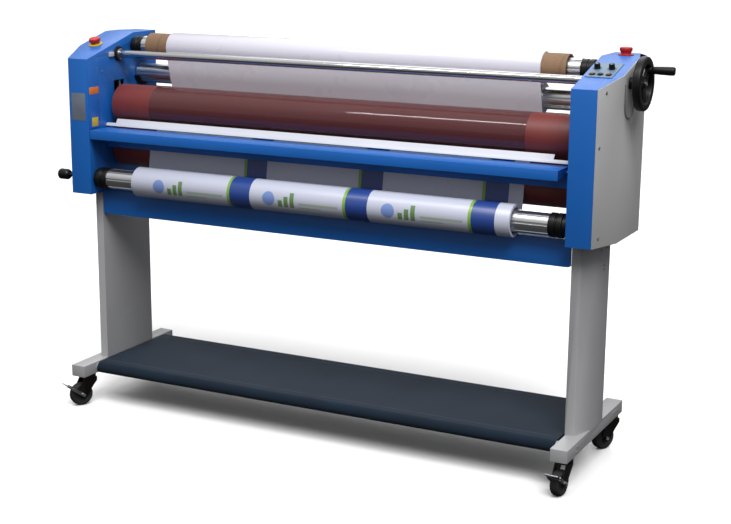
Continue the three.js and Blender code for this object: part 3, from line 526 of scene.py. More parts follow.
class Maker:
    """Builds plain meshes in the row frame."""

    def __init__(self, frame: dict) -> None:
        """Keeps the frame and makes each finish once."""
        self.frame = frame
        self.joints = {j["name"]: j for j in frame["record"]["behaviour"]["joints"]}
        self.materials = {s: f.build() for s, f in FINISHES.items()}
        self.extras = {n: (s, f.build()) for n, (s, f) in EXTRA_FINISHES.items()}

    def material(self, finish: Slot | str) -> tuple[Slot, bpy.types.Material]:
        """The slot and material of a finish."""
        return (finish, self.materials[finish]) if isinstance(finish, Slot) else self.extras[finish]

    def place(self, obj: bpy.types.Object, body: str, finish: Slot | str, *nodes: str) -> None:
        """Dresses a piece, fixes it to a body and puts it in place of CAD nodes.

        Args:
            obj: The piece.
            body: The body that it moves with.
            finish: A material slot or an extra finish.
            nodes: The CAD nodes that it stands for.
        """
        slot, material = self.material(finish)
        obj.data.materials.clear()
        obj.data.materials.append(material)
        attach(obj, body)
        if nodes:
            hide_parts(*nodes)
        LOG.info("%s rides on %s, %d faces", obj.name, body, len(obj.data.polygons))

    @staticmethod
    def closed(bm: bmesh.types.BMesh, name: str, sharp: float = 35, turn: bool = True
               ) -> bpy.types.Object:
        """Turns a working mesh into a shown object.

        Args:
            bm: The working mesh, which is freed.
            name: The object's name.
            sharp: Edges bent more than this many degrees stay crisp.
            turn: Whether normals are recalculated.

        Returns:
            The new object.
        """
        if turn:
            bmesh.ops.recalc_face_normals(bm, faces=bm.faces[:])
        for face in bm.faces:
            face.smooth = True
        for edge in bm.edges:
            edge.smooth = not (edge.is_manifold and edge.calc_face_angle(0) > math.radians(sharp))
        mesh = bpy.data.meshes.new(name)
        bm.to_mesh(mesh)
        bm.free()
        obj = show(name, mesh)
        return obj

    def refined(self, node: str, width_mm: float = 1.2, name: str = "") -> bpy.types.Object:
        """A copy of a CAD node with its edges softened.

        Args:
            node: The CAD node.
            width_mm: How wide the softened edges are.
            name: The new object's name, or the node's with _finished.

        Returns:
            The new object.
        """
        bm = bmesh.new()
        bm.from_mesh(self.frame["nodes"][node].data)
        bmesh.ops.remove_doubles(bm, verts=bm.verts[:], dist=WELD)
        bmesh.ops.dissolve_limit(bm, angle_limit=math.radians(FLAT_DEGREES), verts=bm.verts[:],
                                 edges=bm.edges[:])
        edges = [e for e in bm.edges if e.is_manifold
                 and e.calc_face_angle(0) > math.radians(CREASE_DEGREES)]
        if width_mm > 0 and edges:
            bmesh.ops.bevel(bm, geom=edges, offset=width_mm * MM, segments=2, profile=BEVEL_PROFILE,
                            affect="EDGES", clamp_overlap=True)
        return self.closed(bm, name or f"{node}_finished", turn=False)

    @staticmethod
    def soften(points: Profile, width: float, loop: bool = False, steps: int = 3) -> Profile:
        """Rounds the corners of a profile.

        Args:
            points: The profile.
            width: How far from a corner its rounding starts.
            loop: Whether the profile closes on itself.
            steps: Points along each rounding.

        Returns:
            The rounded profile.
        """
        made: Profile = []
        count = len(points)
        for i, here in enumerate(points):
            if not loop and i in (0, count - 1):
                made.append(here)
                continue
            p = Vector(here)
            to_last = Vector(points[i - 1]) - p
            to_next = Vector(points[(i + 1) % count]) - p
            reach = min(width, to_last.length * 0.45, to_next.length * 0.45)
            first, second = p + to_last.normalized() * reach, p + to_next.normalized() * reach
            for k in range(steps + 1):
                t = k / steps
                q = first * (1 - t) ** 2 + p * (2 * t * (1 - t)) + second * t * t
                made.append((q.x, q.y))
        return made

    @staticmethod
    def turned_mesh(bm: bmesh.types.BMesh, profile: Profile, origin: Vector, axis: Vector,
                    segments: int, loop: bool) -> None:
        """Adds a turned shape to a working mesh.

        Args:
            bm: The working mesh.
            profile: Distance along the axis and radius, in metres.
            origin: The point on the axis that distances start from.
            axis: The axis.
            segments: Steps round it.
            loop: Whether the profile closes on itself.
        """
        turn = Z_AXIS.rotation_difference(axis).to_matrix()
        rings = []
        for along, radius in profile:
            if radius < 1e-7:
                rings.append([bm.verts.new(origin + turn @ Vector((0, 0, along)))])
                continue
            rings.append([bm.verts.new(origin + turn @ Vector((
                radius * math.cos(2 * math.pi * k / segments),
                radius * math.sin(2 * math.pi * k / segments), along))) for k in range(segments)])
        pairs = list(zip(rings, rings[1:])) + ([(rings[-1], rings[0])] if loop else [])
        for low, high in pairs:
            for k in range(segments):
                n = (k + 1) % segments
                around = [low[k % len(low)], low[n % len(low)], high[n % len(high)],
                          high[k % len(high)]]
                face = list(dict.fromkeys(around))
                if len(face) > 2:
                    bm.faces.new(face)

    def turned(self, name: str, profile: Profile, origin: Vector, axis: Vector = X_AXIS,
               segments: int = 96, loop: bool = False) -> bpy.types.Object:
        """A turned piece, closed at the axis or round a bore."""
        bm = bmesh.new()
        self.turned_mesh(bm, profile, origin, axis, segments, loop)
        return self.closed(bm, name)

    def tube(self, name: str, low: float, high: float, bore: float, radius: float, at: Vector,
             soft: float = 0.001, segments: int = 112) -> bpy.types.Object:
        """A plain ring or sleeve along X with softened rims."""
        ring = [(low, bore), (low, radius), (high, radius), (high, bore)]
        profile = self.soften(ring, soft, True)
        return self.turned(name, profile, at, segments=segments, loop=True)

    @staticmethod
    def block_mesh(bm: bmesh.types.BMesh, low: Vector, high: Vector, soft: float,
                   turn: Matrix | None = None) -> None:
        """Adds a box with softened edges to a working mesh."""
        made = bmesh.ops.create_cube(bm, size=1.0)["verts"]
        size, middle = high - low, (high + low) / 2
        for v in made:
            v.co = Vector((v.co[i] * size[i] + middle[i] for i in range(3)))
        edges = list({e for v in made for e in v.link_edges})
        grown = bmesh.ops.bevel(bm, geom=edges, offset=soft, segments=2, profile=BEVEL_PROFILE,
                                affect="EDGES", clamp_overlap=True)
        if turn is not None:
            moved = {v for f in grown["faces"] for v in f.verts} | {v for v in made if v.is_valid}
            bmesh.ops.transform(bm, matrix=turn, verts=list(moved))

    def block(self, name: str, low: Sequence[float], high: Sequence[float], soft: float = 0.0006
              ) -> bpy.types.Object:
        """A box with softened edges, between two corners in metres."""
        bm = bmesh.new()
        self.block_mesh(bm, Vector(low), Vector(high), soft)
        return self.closed(bm, name)

    def swept(self, name: str, path: Sequence[Vector], radius: float, sides: int = 12
              ) -> bpy.types.Object:
        """A round bar bent along a path, closed at both ends."""
        bm = bmesh.new()
        rings, up = [], None
        for i, p in enumerate(path):
            ahead = (path[min(i + 1, len(path) - 1)] - path[max(i - 1, 0)]).normalized()
            up = up - ahead * up.dot(ahead) if up else ahead.orthogonal()
            up.normalize()
            side = ahead.cross(up)
            rings.append([bm.verts.new(p + (up * math.cos(a) + side * math.sin(a)) * radius)
                          for a in (2 * math.pi * k / sides for k in range(sides))])
        for low, high in zip(rings, rings[1:]):
            for k in range(sides):
                n = (k + 1) % sides
                bm.faces.new((low[k], low[n], high[n], high[k]))
        bm.faces.new(rings[0][::-1])
        bm.faces.new(rings[-1])
        return self.closed(bm, name)

    def ribbon(self, name: str, path: Sequence[tuple[float, float]], low: float, high: float,
               thick: float, across: int = 1, lift: Callable[[float, float], float] | None = None
               ) -> bpy.types.Object:
        """A thin sheet that follows a path in the Y and Z plane.

        Args:
            name: The object's name.
            path: Points in Y and Z.
            low: Its left edge in X.
            high: Its right edge in X.
            thick: The sheet's thickness.
            across: Steps from edge to edge.
            lift: An extra height from its place across and along, both from 0 to 1.

        Returns:
            The closed sheet.
        """
        bm = bmesh.new()
        layers = []
        for side in (-0.5, 0.5):
            rows = []
            for i, (y, z) in enumerate(path):
                before, after = path[max(i - 1, 0)], path[min(i + 1, len(path) - 1)]
                run = Vector((after[0] - before[0], after[1] - before[1])).normalized()
                out = Vector((-run.y, run.x)) * thick * side
                rows.append([])
                for k in range(across + 1):
                    raised = lift(k / across, i / (len(path) - 1)) if lift else 0.0
                    rows[-1].append(bm.verts.new((low + (high - low) * k / across, y + out.x,
                                                  z + out.y + raised)))
            layers.append(rows)
        under, over = layers
        for i in range(len(path) - 1):
            for k in range(across):
                bm.faces.new((under[i][k], under[i + 1][k], under[i + 1][k + 1], under[i][k + 1]))
                bm.faces.new((over[i][k], over[i][k + 1], over[i + 1][k + 1], over[i + 1][k]))
            for k in (0, across):
                bm.faces.new((under[i][k], over[i][k], over[i + 1][k], under[i + 1][k]))
        for i in (0, len(path) - 1):
            for k in range(across):
                bm.faces.new((under[i][k], under[i][k + 1], over[i][k + 1], over[i][k]))
        return self.closed(bm, name, 40)

    def fit(self, node: str, axis: Vector, point: Vector) -> tuple[float, float, float, float]:
        """How a node lies about an axis.

        Args:
            node: The CAD node.
            axis: The axis's direction.
            point: A point on it.

        Returns:
            Its start and end along the axis, its greatest radius and its least.
        """
        ends, radii = [], []
        for v in self.frame["nodes"][node].data.vertices:
            away = v.co - point
            along = away.dot(axis)
            ends.append(along)
            radii.append((away - axis * along).length)
        return min(ends), max(ends), max(radii), min(radii)

    def on_surface(self, node: str, start: Sequence[float], way: Vector
                   ) -> tuple[Vector, Vector] | None:
        """Where a line first meets a node, and the way that its face looks there.

        Args:
            node: The CAD node.
            start: A point outside it.
            way: The line's direction.

        Returns:
            The point and the face's normal, or None where it misses.
        """
        mesh = self.frame["nodes"][node].data
        tree = BVHTree.FromPolygons([v.co for v in mesh.vertices],
                                    [tuple(p.vertices) for p in mesh.polygons])
        point, normal, _, _ = tree.ray_cast(Vector(start), way)
        return (point, normal if normal.dot(way) < 0 else -normal) if point else None

    def on_joint(self, joint: str, node: str) -> tuple[Vector, Vector, float, float, float]:
        """A node's axis point, axis direction, start, end and radius, from its joint."""
        data = self.joints[joint]
        axis = Vector(data["axis"]).normalized()
        if "pos_m" in data:
            point = Vector(data["pos_m"])
        else:
            low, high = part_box(node)
            point = (low + high) / 2
        start, end, radius, _ = self.fit(node, axis, point)
        return point, axis, start, end, radius

    def round_bar(self, node: str) -> tuple[Vector, float, float, float, float]:
        """A node's centre line along X, its thick part's ends, its radius and its journal's."""
        low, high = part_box(node)
        centre = Vector((0, (low.y + high.y) / 2, (low.z + high.z) / 2))
        radius = (high.z - low.z) / 2
        far = [(v.co, (v.co - centre).yz.length) for v in self.frame["nodes"][node].data.vertices]
        thick = [c.x for c, r in far if r > radius * 0.93]
        journal = max(r for c, r in far if abs(c.x - low.x) < 1e-4)
        return centre, min(thick), max(thick), radius, journal


# ---- Repeated pieces ---------------------------------------------------------------------------


class Repeat(Enum):
    """What is set out at each marked point."""

    SOCKET_SCREW = "socket_screw"
    HEX_BOLT = "hex_bolt"
    TICK = "tick"
    STITCH = "stitch"


@dataclass
class Spot:
    """A place for a repeated piece: where, which way it faces and which way it lies."""

    at: Vector
    facing: Vector
    along: Vector = field(default_factory=lambda: Vector((1, 0, 0)))


@dataclass
class SpotTree:
    """A geometry tree that sets a small piece on each point of a mesh.

    Fields:
        kind: What is set out.
        radius_mm: Its radius, or half its length.
        height_mm: How far it stands proud.
    """

    kind: Repeat
    radius_mm: float = 4.0
    height_mm: float = 2.4

    def build(self) -> tuple[bpy.types.GeometryNodeTree, dict[str, str]]:
        """Makes the tree.

        Returns:
            The tree, and its inputs' identifiers by name.
        """
        tree = bpy.data.node_groups.new(f"{self.kind.value}_tree", "GeometryNodeTree")
        face = tree.interface
        face.new_socket("Geometry", in_out="INPUT", socket_type="NodeSocketGeometry")
        named = {n: face.new_socket(n, in_out="INPUT", socket_type=t).identifier for n, t in (
            ("Radius", "NodeSocketFloat"), ("Height", "NodeSocketFloat"),
            ("Finish", "NodeSocketMaterial"))}
        face.new_socket("Geometry", in_out="OUTPUT", socket_type="NodeSocketGeometry")
        add, link = tree.nodes.new, tree.links.new
        start, end = add("NodeGroupInput"), add("NodeGroupOutput")
        points = add("GeometryNodeMeshToPoints")
        link(start.outputs["Geometry"], points.inputs["Mesh"])
        turn: bpy.types.NodeSocket | None = None
        for name, axis in (("facing", "Z"), ("along", "X")):
            attribute = add("GeometryNodeInputNamedAttribute")
            attribute.data_type = "FLOAT_VECTOR"
            attribute.inputs["Name"].default_value = name
            align = add("FunctionNodeAlignRotationToVector")
            align.axis = axis
            if turn:
                align.pivot_axis = "Z"
                link(turn, align.inputs["Rotation"])
            link(attribute.outputs["Attribute"], align.inputs["Vector"])
            turn = align.outputs["Rotation"]
        copies = add("GeometryNodeInstanceOnPoints")
        link(points.outputs[0], copies.inputs["Points"])
        link(turn, copies.inputs["Rotation"])
        link(self.piece(tree, start), copies.inputs["Instance"])
        real, dress = add("GeometryNodeRealizeInstances"), add("GeometryNodeSetMaterial")
        link(copies.outputs[0], real.inputs[0])
        link(real.outputs[0], dress.inputs["Geometry"])
        link(start.outputs["Finish"], dress.inputs["Material"])
        link(dress.outputs[0], end.inputs[0])
        return tree, named

    def piece(self, tree: bpy.types.GeometryNodeTree, start: bpy.types.Node
              ) -> bpy.types.NodeSocket:
        """The nodes that make one piece, standing on its point."""
        add, link = tree.nodes.new, tree.links.new
        if self.kind in (Repeat.TICK, Repeat.STITCH):
            cube, size = add("GeometryNodeMeshCube"), add("ShaderNodeCombineXYZ")
            width = add("ShaderNodeMath")
            width.operation = "MULTIPLY"
            width.inputs[1].default_value = 0.36
            link(start.outputs["Radius"], width.inputs[0])
            link(start.outputs["Radius"], size.inputs[0])
            link(width.outputs[0], size.inputs[1])
            link(start.outputs["Height"], size.inputs[2])
            link(size.outputs[0], cube.inputs["Size"])
            return cube.outputs["Mesh"]
        head = add("GeometryNodeMeshCylinder")
        head.inputs["Vertices"].default_value = 6 if self.kind is Repeat.HEX_BOLT else 20
        link(start.outputs["Radius"], head.inputs["Radius"])
        link(start.outputs["Height"], head.inputs["Depth"])
        mesh, top = head.outputs["Mesh"], head.outputs["Top"]
        for scale, depth in ((0.84, 0.16), (0.6, 0.0), (0.92, -0.55)):
            extrude, deep = add("GeometryNodeExtrudeMesh"), add("ShaderNodeMath")
            extrude.inputs["Individual"].default_value = False
            deep.operation = "MULTIPLY"
            deep.inputs[1].default_value = depth
            link(start.outputs["Height"], deep.inputs[0])
            link(deep.outputs[0], extrude.inputs["Offset Scale"])
            link(mesh, extrude.inputs["Mesh"])
            link(top, extrude.inputs["Selection"])
            shrink = add("GeometryNodeScaleElements")
            shrink.inputs["Scale"].default_value = scale
            link(extrude.outputs["Mesh"], shrink.inputs["Geometry"])
            link(extrude.outputs["Top"], shrink.inputs["Selection"])
            mesh, top = shrink.outputs[0], extrude.outputs["Top"]
        return mesh

    def set_out(self, maker: Maker, name: str, spots: Sequence[Spot], body: str,
                finish: Slot | str) -> bpy.types.Object:
        """Sets the pieces out and makes them one plain mesh.

        Args:
            maker: The mesh maker.
            name: The object's name.
            spots: The places.
            body: The body that they move with.
            finish: Their finish.

        Returns:
            The object.
        """
        mesh = bpy.data.meshes.new(f"{name}_points")
        mesh.from_pydata([s.at for s in spots], [], [])
        for label in ("facing", "along"):
            layer = mesh.attributes.new(label, "FLOAT_VECTOR", "POINT")
            layer.data.foreach_set("vector", [c for s in spots for c in getattr(s, label)])
        host = show(f"{name}_host", mesh)
        tree, named = self.build()
        modifier = host.modifiers.new("set_out", "NODES")
        modifier.node_group = tree
        modifier[named["Radius"]] = self.radius_mm * MM
        modifier[named["Height"]] = self.height_mm * MM
        modifier[named["Finish"]] = maker.material(finish)[1]
        bpy.context.view_layer.update()
        shown = host.evaluated_get(bpy.context.evaluated_depsgraph_get())
        bm = bmesh.new()
        real = bpy.data.meshes.new_from_object(shown)
        bm.from_mesh(real)
        host.modifiers.remove(modifier)
        bpy.data.objects.remove(host)
        bpy.data.meshes.remove(real)
        bmesh.ops.remove_doubles(bm, verts=bm.verts[:], dist=1e-6)
        obj = maker.closed(bm, name)
        maker.place(obj, body, finish)
        return obj


# ---- Sub-assemblies ----------------------------------------------------------------------------


@dataclass
class Assembly:
    """A group of pieces that belong together."""

    maker: Maker

    def refine(self, body: str, finish: Slot | str, nodes: Sequence[str], width_mm: float = 1.2
               ) -> None:
        """Puts softened copies in place of several nodes of one body."""
        for node in nodes:
            self.maker.place(self.maker.refined(node, width_mm), body, finish, node)


@dataclass
class Stand(Assembly):
    """Legs, rails, apron and the cloth shelf between them."""

    cloth_mm: float = 1.6
    sag_mm: float = 5.0
    stitch_gap_mm: float = 9.0

    def build(self) -> None:
        """Makes every piece."""
        self.refine("frame", Slot.SILVER, ("left_leg", "right_leg"), 1.8)
        self.refine("frame", Slot.SILVER, ("shelf_rail_front", "shelf_rail_rear"), 1.2)
        self.refine("frame", Slot.BLUE, ("front_apron",), 1.4)
        self.shelf()
        self.bolts()

    def shelf(self) -> None:
        """The cloth, one band wrapped round both rails, and its seam stitches."""
        low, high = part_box("shelf_sling")
        radius = (high.z - low.z) / 2 - self.cloth_mm * MM / 2
        front, rear, z = low.y + radius, high.y - radius, (low.z + high.z) / 2
        front, rear = front + self.cloth_mm * MM / 2, rear - self.cloth_mm * MM / 2
        path: list[tuple[float, float, float]] = []
        steps = 28
        for k in range(steps):
            t = k / steps
            path.append((front + (rear - front) * t, z + radius, 4 * t * (1 - t)))
        for k in range(14):
            a = math.pi / 2 - math.pi * k / 14
            path.append((rear + radius * math.cos(a), z + radius * math.sin(a), 0))
        for k in range(steps):
            t = k / steps
            path.append((rear + (front - rear) * t, z - radius, 0))
        for k in range(14):
            a = -math.pi / 2 - math.pi * k / 14
            path.append((front + radius * math.cos(a), z + radius * math.sin(a), 0))
        bm = bmesh.new()
        across, half = 60, self.cloth_mm * MM / 2
        shells = []
        for side in (half, -half):
            rows = []
            for i, (y, h, slack) in enumerate(path):
                before, after = path[i - 1], path[(i + 1) % len(path)]
                run = Vector((after[0] - before[0], after[1] - before[1])).normalized()
                row = []
                for k in range(across + 1):
                    u = k / across
                    span = math.sin(math.pi * u) ** 0.6 if 0 < u < 1 else 0.0
                    drop = slack * (self.sag_mm * span
                                    + 0.5 * math.sin(9 * math.pi * u + 2.2 * y * 10)) * MM
                    row.append(bm.verts.new((low.x + (high.x - low.x) * u, y - run.y * side,
                                             h + run.x * side - drop)))
                rows.append(row)
            shells.append(rows)
        outer, inner = shells
        count = len(path)
        for i in range(count):
            n = (i + 1) % count
            for k in range(across):
                bm.faces.new((outer[i][k], outer[i][k + 1], outer[n][k + 1], outer[n][k]))
                bm.faces.new((inner[i][k], inner[n][k], inner[n][k + 1], inner[i][k + 1]))
            for k in (0, across):
                bm.faces.new((outer[i][k], outer[n][k], inner[n][k], inner[i][k]))
        cloth = self.maker.closed(bm, "shelf_cloth", 60)
        self.maker.place(cloth, "frame", Slot.CLOTH, "shelf_sling")
        spots = []
        gap = self.stitch_gap_mm * MM
        for y in (front + 0.026, rear - 0.026):
            count = int((high.x - low.x - 0.03) / gap)
            spots += [Spot(Vector((low.x + 0.015 + gap * k, y, z + radius + 0.0006)), Z_AXIS)
                      for k in range(count)]
        SpotTree(Repeat.STITCH, 5.0, 0.7).set_out(self.maker, "shelf_stitches", spots, "frame",
                                                  "thread")

    def bolts(self) -> None:
        """Bolts on the feet and the columns."""
        spots = []
        for node, way in (("left_leg", -1), ("right_leg", 1)):
            low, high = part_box(node)
            face = low.x if way < 0 else high.x
            for y, z in ((0.205, 0.125), (0.188, 0.125), (-0.150, 0.112), (-0.150, 0.128),
                         (0.02, 0.613), (0.02, 0.601), (0.045, 0.66), (-0.005, 0.66)):
                spots.append(Spot(Vector((face + way * 0.0004, y, z)), Vector((way, 0, 0)),
                                  Vector((0, 1, 0))))
        SpotTree(Repeat.SOCKET_SCREW, 3.6, 2.2).set_out(self.maker, "stand_bolts", spots, "frame",
                                                        Slot.ZINC)


@dataclass
class Cabinets(Assembly):
    """The end housings with their covers, plates, screws and labels."""

    label_mm: float = 0.5
    groove_mm: float = 2.8

    def build(self) -> None:
        """Makes every piece."""
        self.refine("frame", Slot.BLUE, ("left_cabinet", "right_cabinet", "left_side_cover"), 1.6)
        self.refine("frame", Slot.GREY, ("right_side_cover",), 1.8)
        self.refine("frame", Slot.BLACK, ("power_inlet",), 0.6)
        self.inner_plate()
        self.front_plate()
        self.groove()
        self.screws()

    def inner_plate(self) -> None:
        """Labels and the raised strip on the left housing's inner wall."""
        _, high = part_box("left_cabinet")
        x, thick = high.x, self.label_mm * MM
        for name, finish, y0, y1, z0, z1, proud in (
                ("orange_tag", "orange", -0.164, -0.117, 1.012, 1.034, thick),
                ("yellow_tag", Slot.YELLOW, -0.154, -0.124, 0.910, 0.938, thick),
                ("inner_step", Slot.BLUE, -0.166, -0.115, 0.905, 1.093, 0.0025),
                ("sensor_block", Slot.GREY, -0.056, -0.034, 1.122, 1.136, 0.007)):
            lift = 0.0025 if finish in ("orange", Slot.YELLOW) else 0.0
            piece = self.maker.block(name, (x + lift - 0.0002, y0, z0), (x + lift + proud, y1, z1),
                                     min(proud, 0.003) * 0.4)
            self.maker.place(piece, "frame", finish)

    def front_plate(self) -> None:
        """The blank rating plate on the left housing's front."""
        low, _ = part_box("left_cabinet")
        piece = self.maker.block("rating_plate", (-0.8895, low.y - self.label_mm * MM, 0.929),
                                 (-0.8365, low.y + 0.0002, 1.015), 0.0002)
        self.maker.place(piece, "frame", "plate")

    def groove(self) -> None:
        """The raised U-shaped rim below the handwheel, in a darker grey that is painted shade for
        its groove.
        """
        _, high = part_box("right_side_cover")
        radius, middle, low = 0.042, -0.00506, 1.032
        path = [Vector((high.x, middle - radius, 1.128 - 0.01 * k)) for k in range(5)]
        path += [Vector((high.x, middle - radius * math.cos(math.pi * k / 24),
                         low + radius - radius * math.sin(math.pi * k / 24))) for k in range(25)]
        path += [Vector((high.x, middle + radius, 1.088 + 0.01 * k)) for k in range(5)]
        self.maker.place(self.maker.swept("cover_lip", path, self.groove_mm * MM), "frame", "lip")

    def screws(self) -> None:
        """Cover screws on both sides."""
        spots = []
        for node, way in (("left_side_cover", -1), ("right_side_cover", 1)):
            for y, z in ((-0.131, 1.112), (-0.152, 0.968), (-0.140, 0.722), (0.176, 0.722),
                         (0.176, 1.12), (0.176, 0.93)):
                hit = self.maker.on_surface(node, (way * 2.0, y, z), Vector((-way, 0, 0)))
                if hit:
                    spots.append(Spot(hit[0] + hit[1] * 0.0006, hit[1], Z_AXIS))
        _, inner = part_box("left_cabinet")
        spots.append(Spot(Vector((inner.x + 0.0006, -0.092, 1.08)), X_AXIS, Vector((0, 1, 0))))
        SpotTree(Repeat.SOCKET_SCREW, 4.0, 1.8).set_out(self.maker, "cover_screws", spots, "frame",
                                                        Slot.ZINC)


@dataclass
class Controls(Assembly):
    """The control panel, its dials and buttons, and both stop buttons."""

    ticks: int = 11
    tick_mm: float = 3.0

    def build(self) -> None:
        """Makes every piece."""
        self.refine("frame", "panel", ("control_panel",), 0.8)
        for knob in ("speed_knob", "pressure_knob"):
            self.knob(knob)
        for button, finish in (("forward_button", "dark_red"), ("stop_button", Slot.BLACK),
                               ("reverse_button", "dark_red")):
            self.button(button, finish)
        for side in ("left", "right"):
            self.stop(side)

    def knob(self, name: str) -> None:
        """A tall stepped, tapering dial with a pointer, and the ticks round it."""
        point, axis, start, end, radius = self.maker.on_joint(f"{name}_turn", name)
        tall = end - start
        profile = [(start, 0.0), (start, radius)]
        profile += [(start + tall * 0.18, radius), (start + tall * 0.22, radius * 0.94),
                    (start + tall * 0.9, radius * 0.88), (end, radius * 0.76), (end, 0.0)]
        bm = bmesh.new()
        self.maker.turned_mesh(bm, self.maker.soften(profile, 0.0008), point, axis, 48, False)
        obj = self.maker.closed(bm, f"{name}_dial")
        self.maker.place(obj, name, Slot.BLACK, name)
        across = axis.cross(X_AXIS).normalized()
        mark = bmesh.new()
        turn = Matrix((X_AXIS, across, axis)).transposed().to_4x4()
        turn.translation = point
        self.maker.block_mesh(mark, Vector((-0.0005, -radius * 0.62, end - 0.0003)),
                              Vector((0.0005, radius * 0.1, end + 0.0003)), 0.0001, turn)
        self.maker.place(self.maker.closed(mark, f"{name}_pointer"), name, Slot.WHITE)
        base = point + axis * (start + 0.0001)
        spots = []
        for k in range(self.ticks):
            angle = math.radians(-140 + 280 * k / (self.ticks - 1))
            out = X_AXIS * math.sin(angle) + across * -math.cos(angle)
            spots.append(Spot(base + out * (radius + 0.003), axis, out))
        SpotTree(Repeat.TICK, self.tick_mm, 0.3).set_out(self.maker, f"{name}_ticks", spots,
                                                         "frame", "ink")

    def button(self, name: str, finish: Slot | str) -> None:
        """A push button with a crowned cap, and the ring round it."""
        low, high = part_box(name)
        axis = -Vector(self.maker.joints[f"{name}_press"]["axis"]).normalized()
        point = (low + high) / 2
        start, end, radius, _ = self.maker.fit(name, axis, point)
        profile = [(start, 0), (start, radius), (end - 0.0006, radius), (end - 0.0002,
                   radius * 0.8), (end, 0)]
        obj = self.maker.turned(f"{name}_cap", self.maker.soften(profile, 0.0006), point, axis, 40)
        self.maker.place(obj, name, finish, name)
        panel = self.maker.on_surface("control_panel", point + axis * 0.05 + X_AXIS * 0.0085, -axis)
        if panel:
            foot = (panel[0] - point).dot(axis)
            ring = [(foot - 0.0002, radius + 0.0006), (foot - 0.0002, radius + 0.0032),
                    (foot + 0.0014, radius + 0.0028), (foot + 0.0014, radius + 0.0006)]
            self.maker.place(self.maker.turned(f"{name}_bezel", self.maker.soften(ring, 0.0004,
                             True), point, axis, 48, True), "frame", Slot.BLACK)

    def stop(self, side: str) -> None:
        """A mushroom stop button on its collar."""
        body = f"{side}_estop"
        base, node = f"{side}_estop_base", f"{side}_estop_button"
        axis = -Vector(self.maker.joints[f"{body}_press"]["axis"]).normalized()
        low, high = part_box(node)
        point = (low + high) / 2
        start, end, radius, _ = self.maker.fit(node, axis, point)
        tall = end - start
        cap = [(start, 0), (start, radius * 0.84), (start + tall * 0.3, radius * 0.88),
               (start + tall * 0.36, radius * 0.98), (start + tall * 0.8, radius),
               (start + tall * 0.93, radius * 0.93), (end, radius * 0.55), (end, 0)]
        self.maker.place(self.maker.turned(f"{body}_mushroom", self.maker.soften(cap, 0.0018),
                                           point, axis, 64), body, Slot.RED, node)
        self.refine("frame", Slot.YELLOW if side == "left" else Slot.RED, (base,), 0.8)


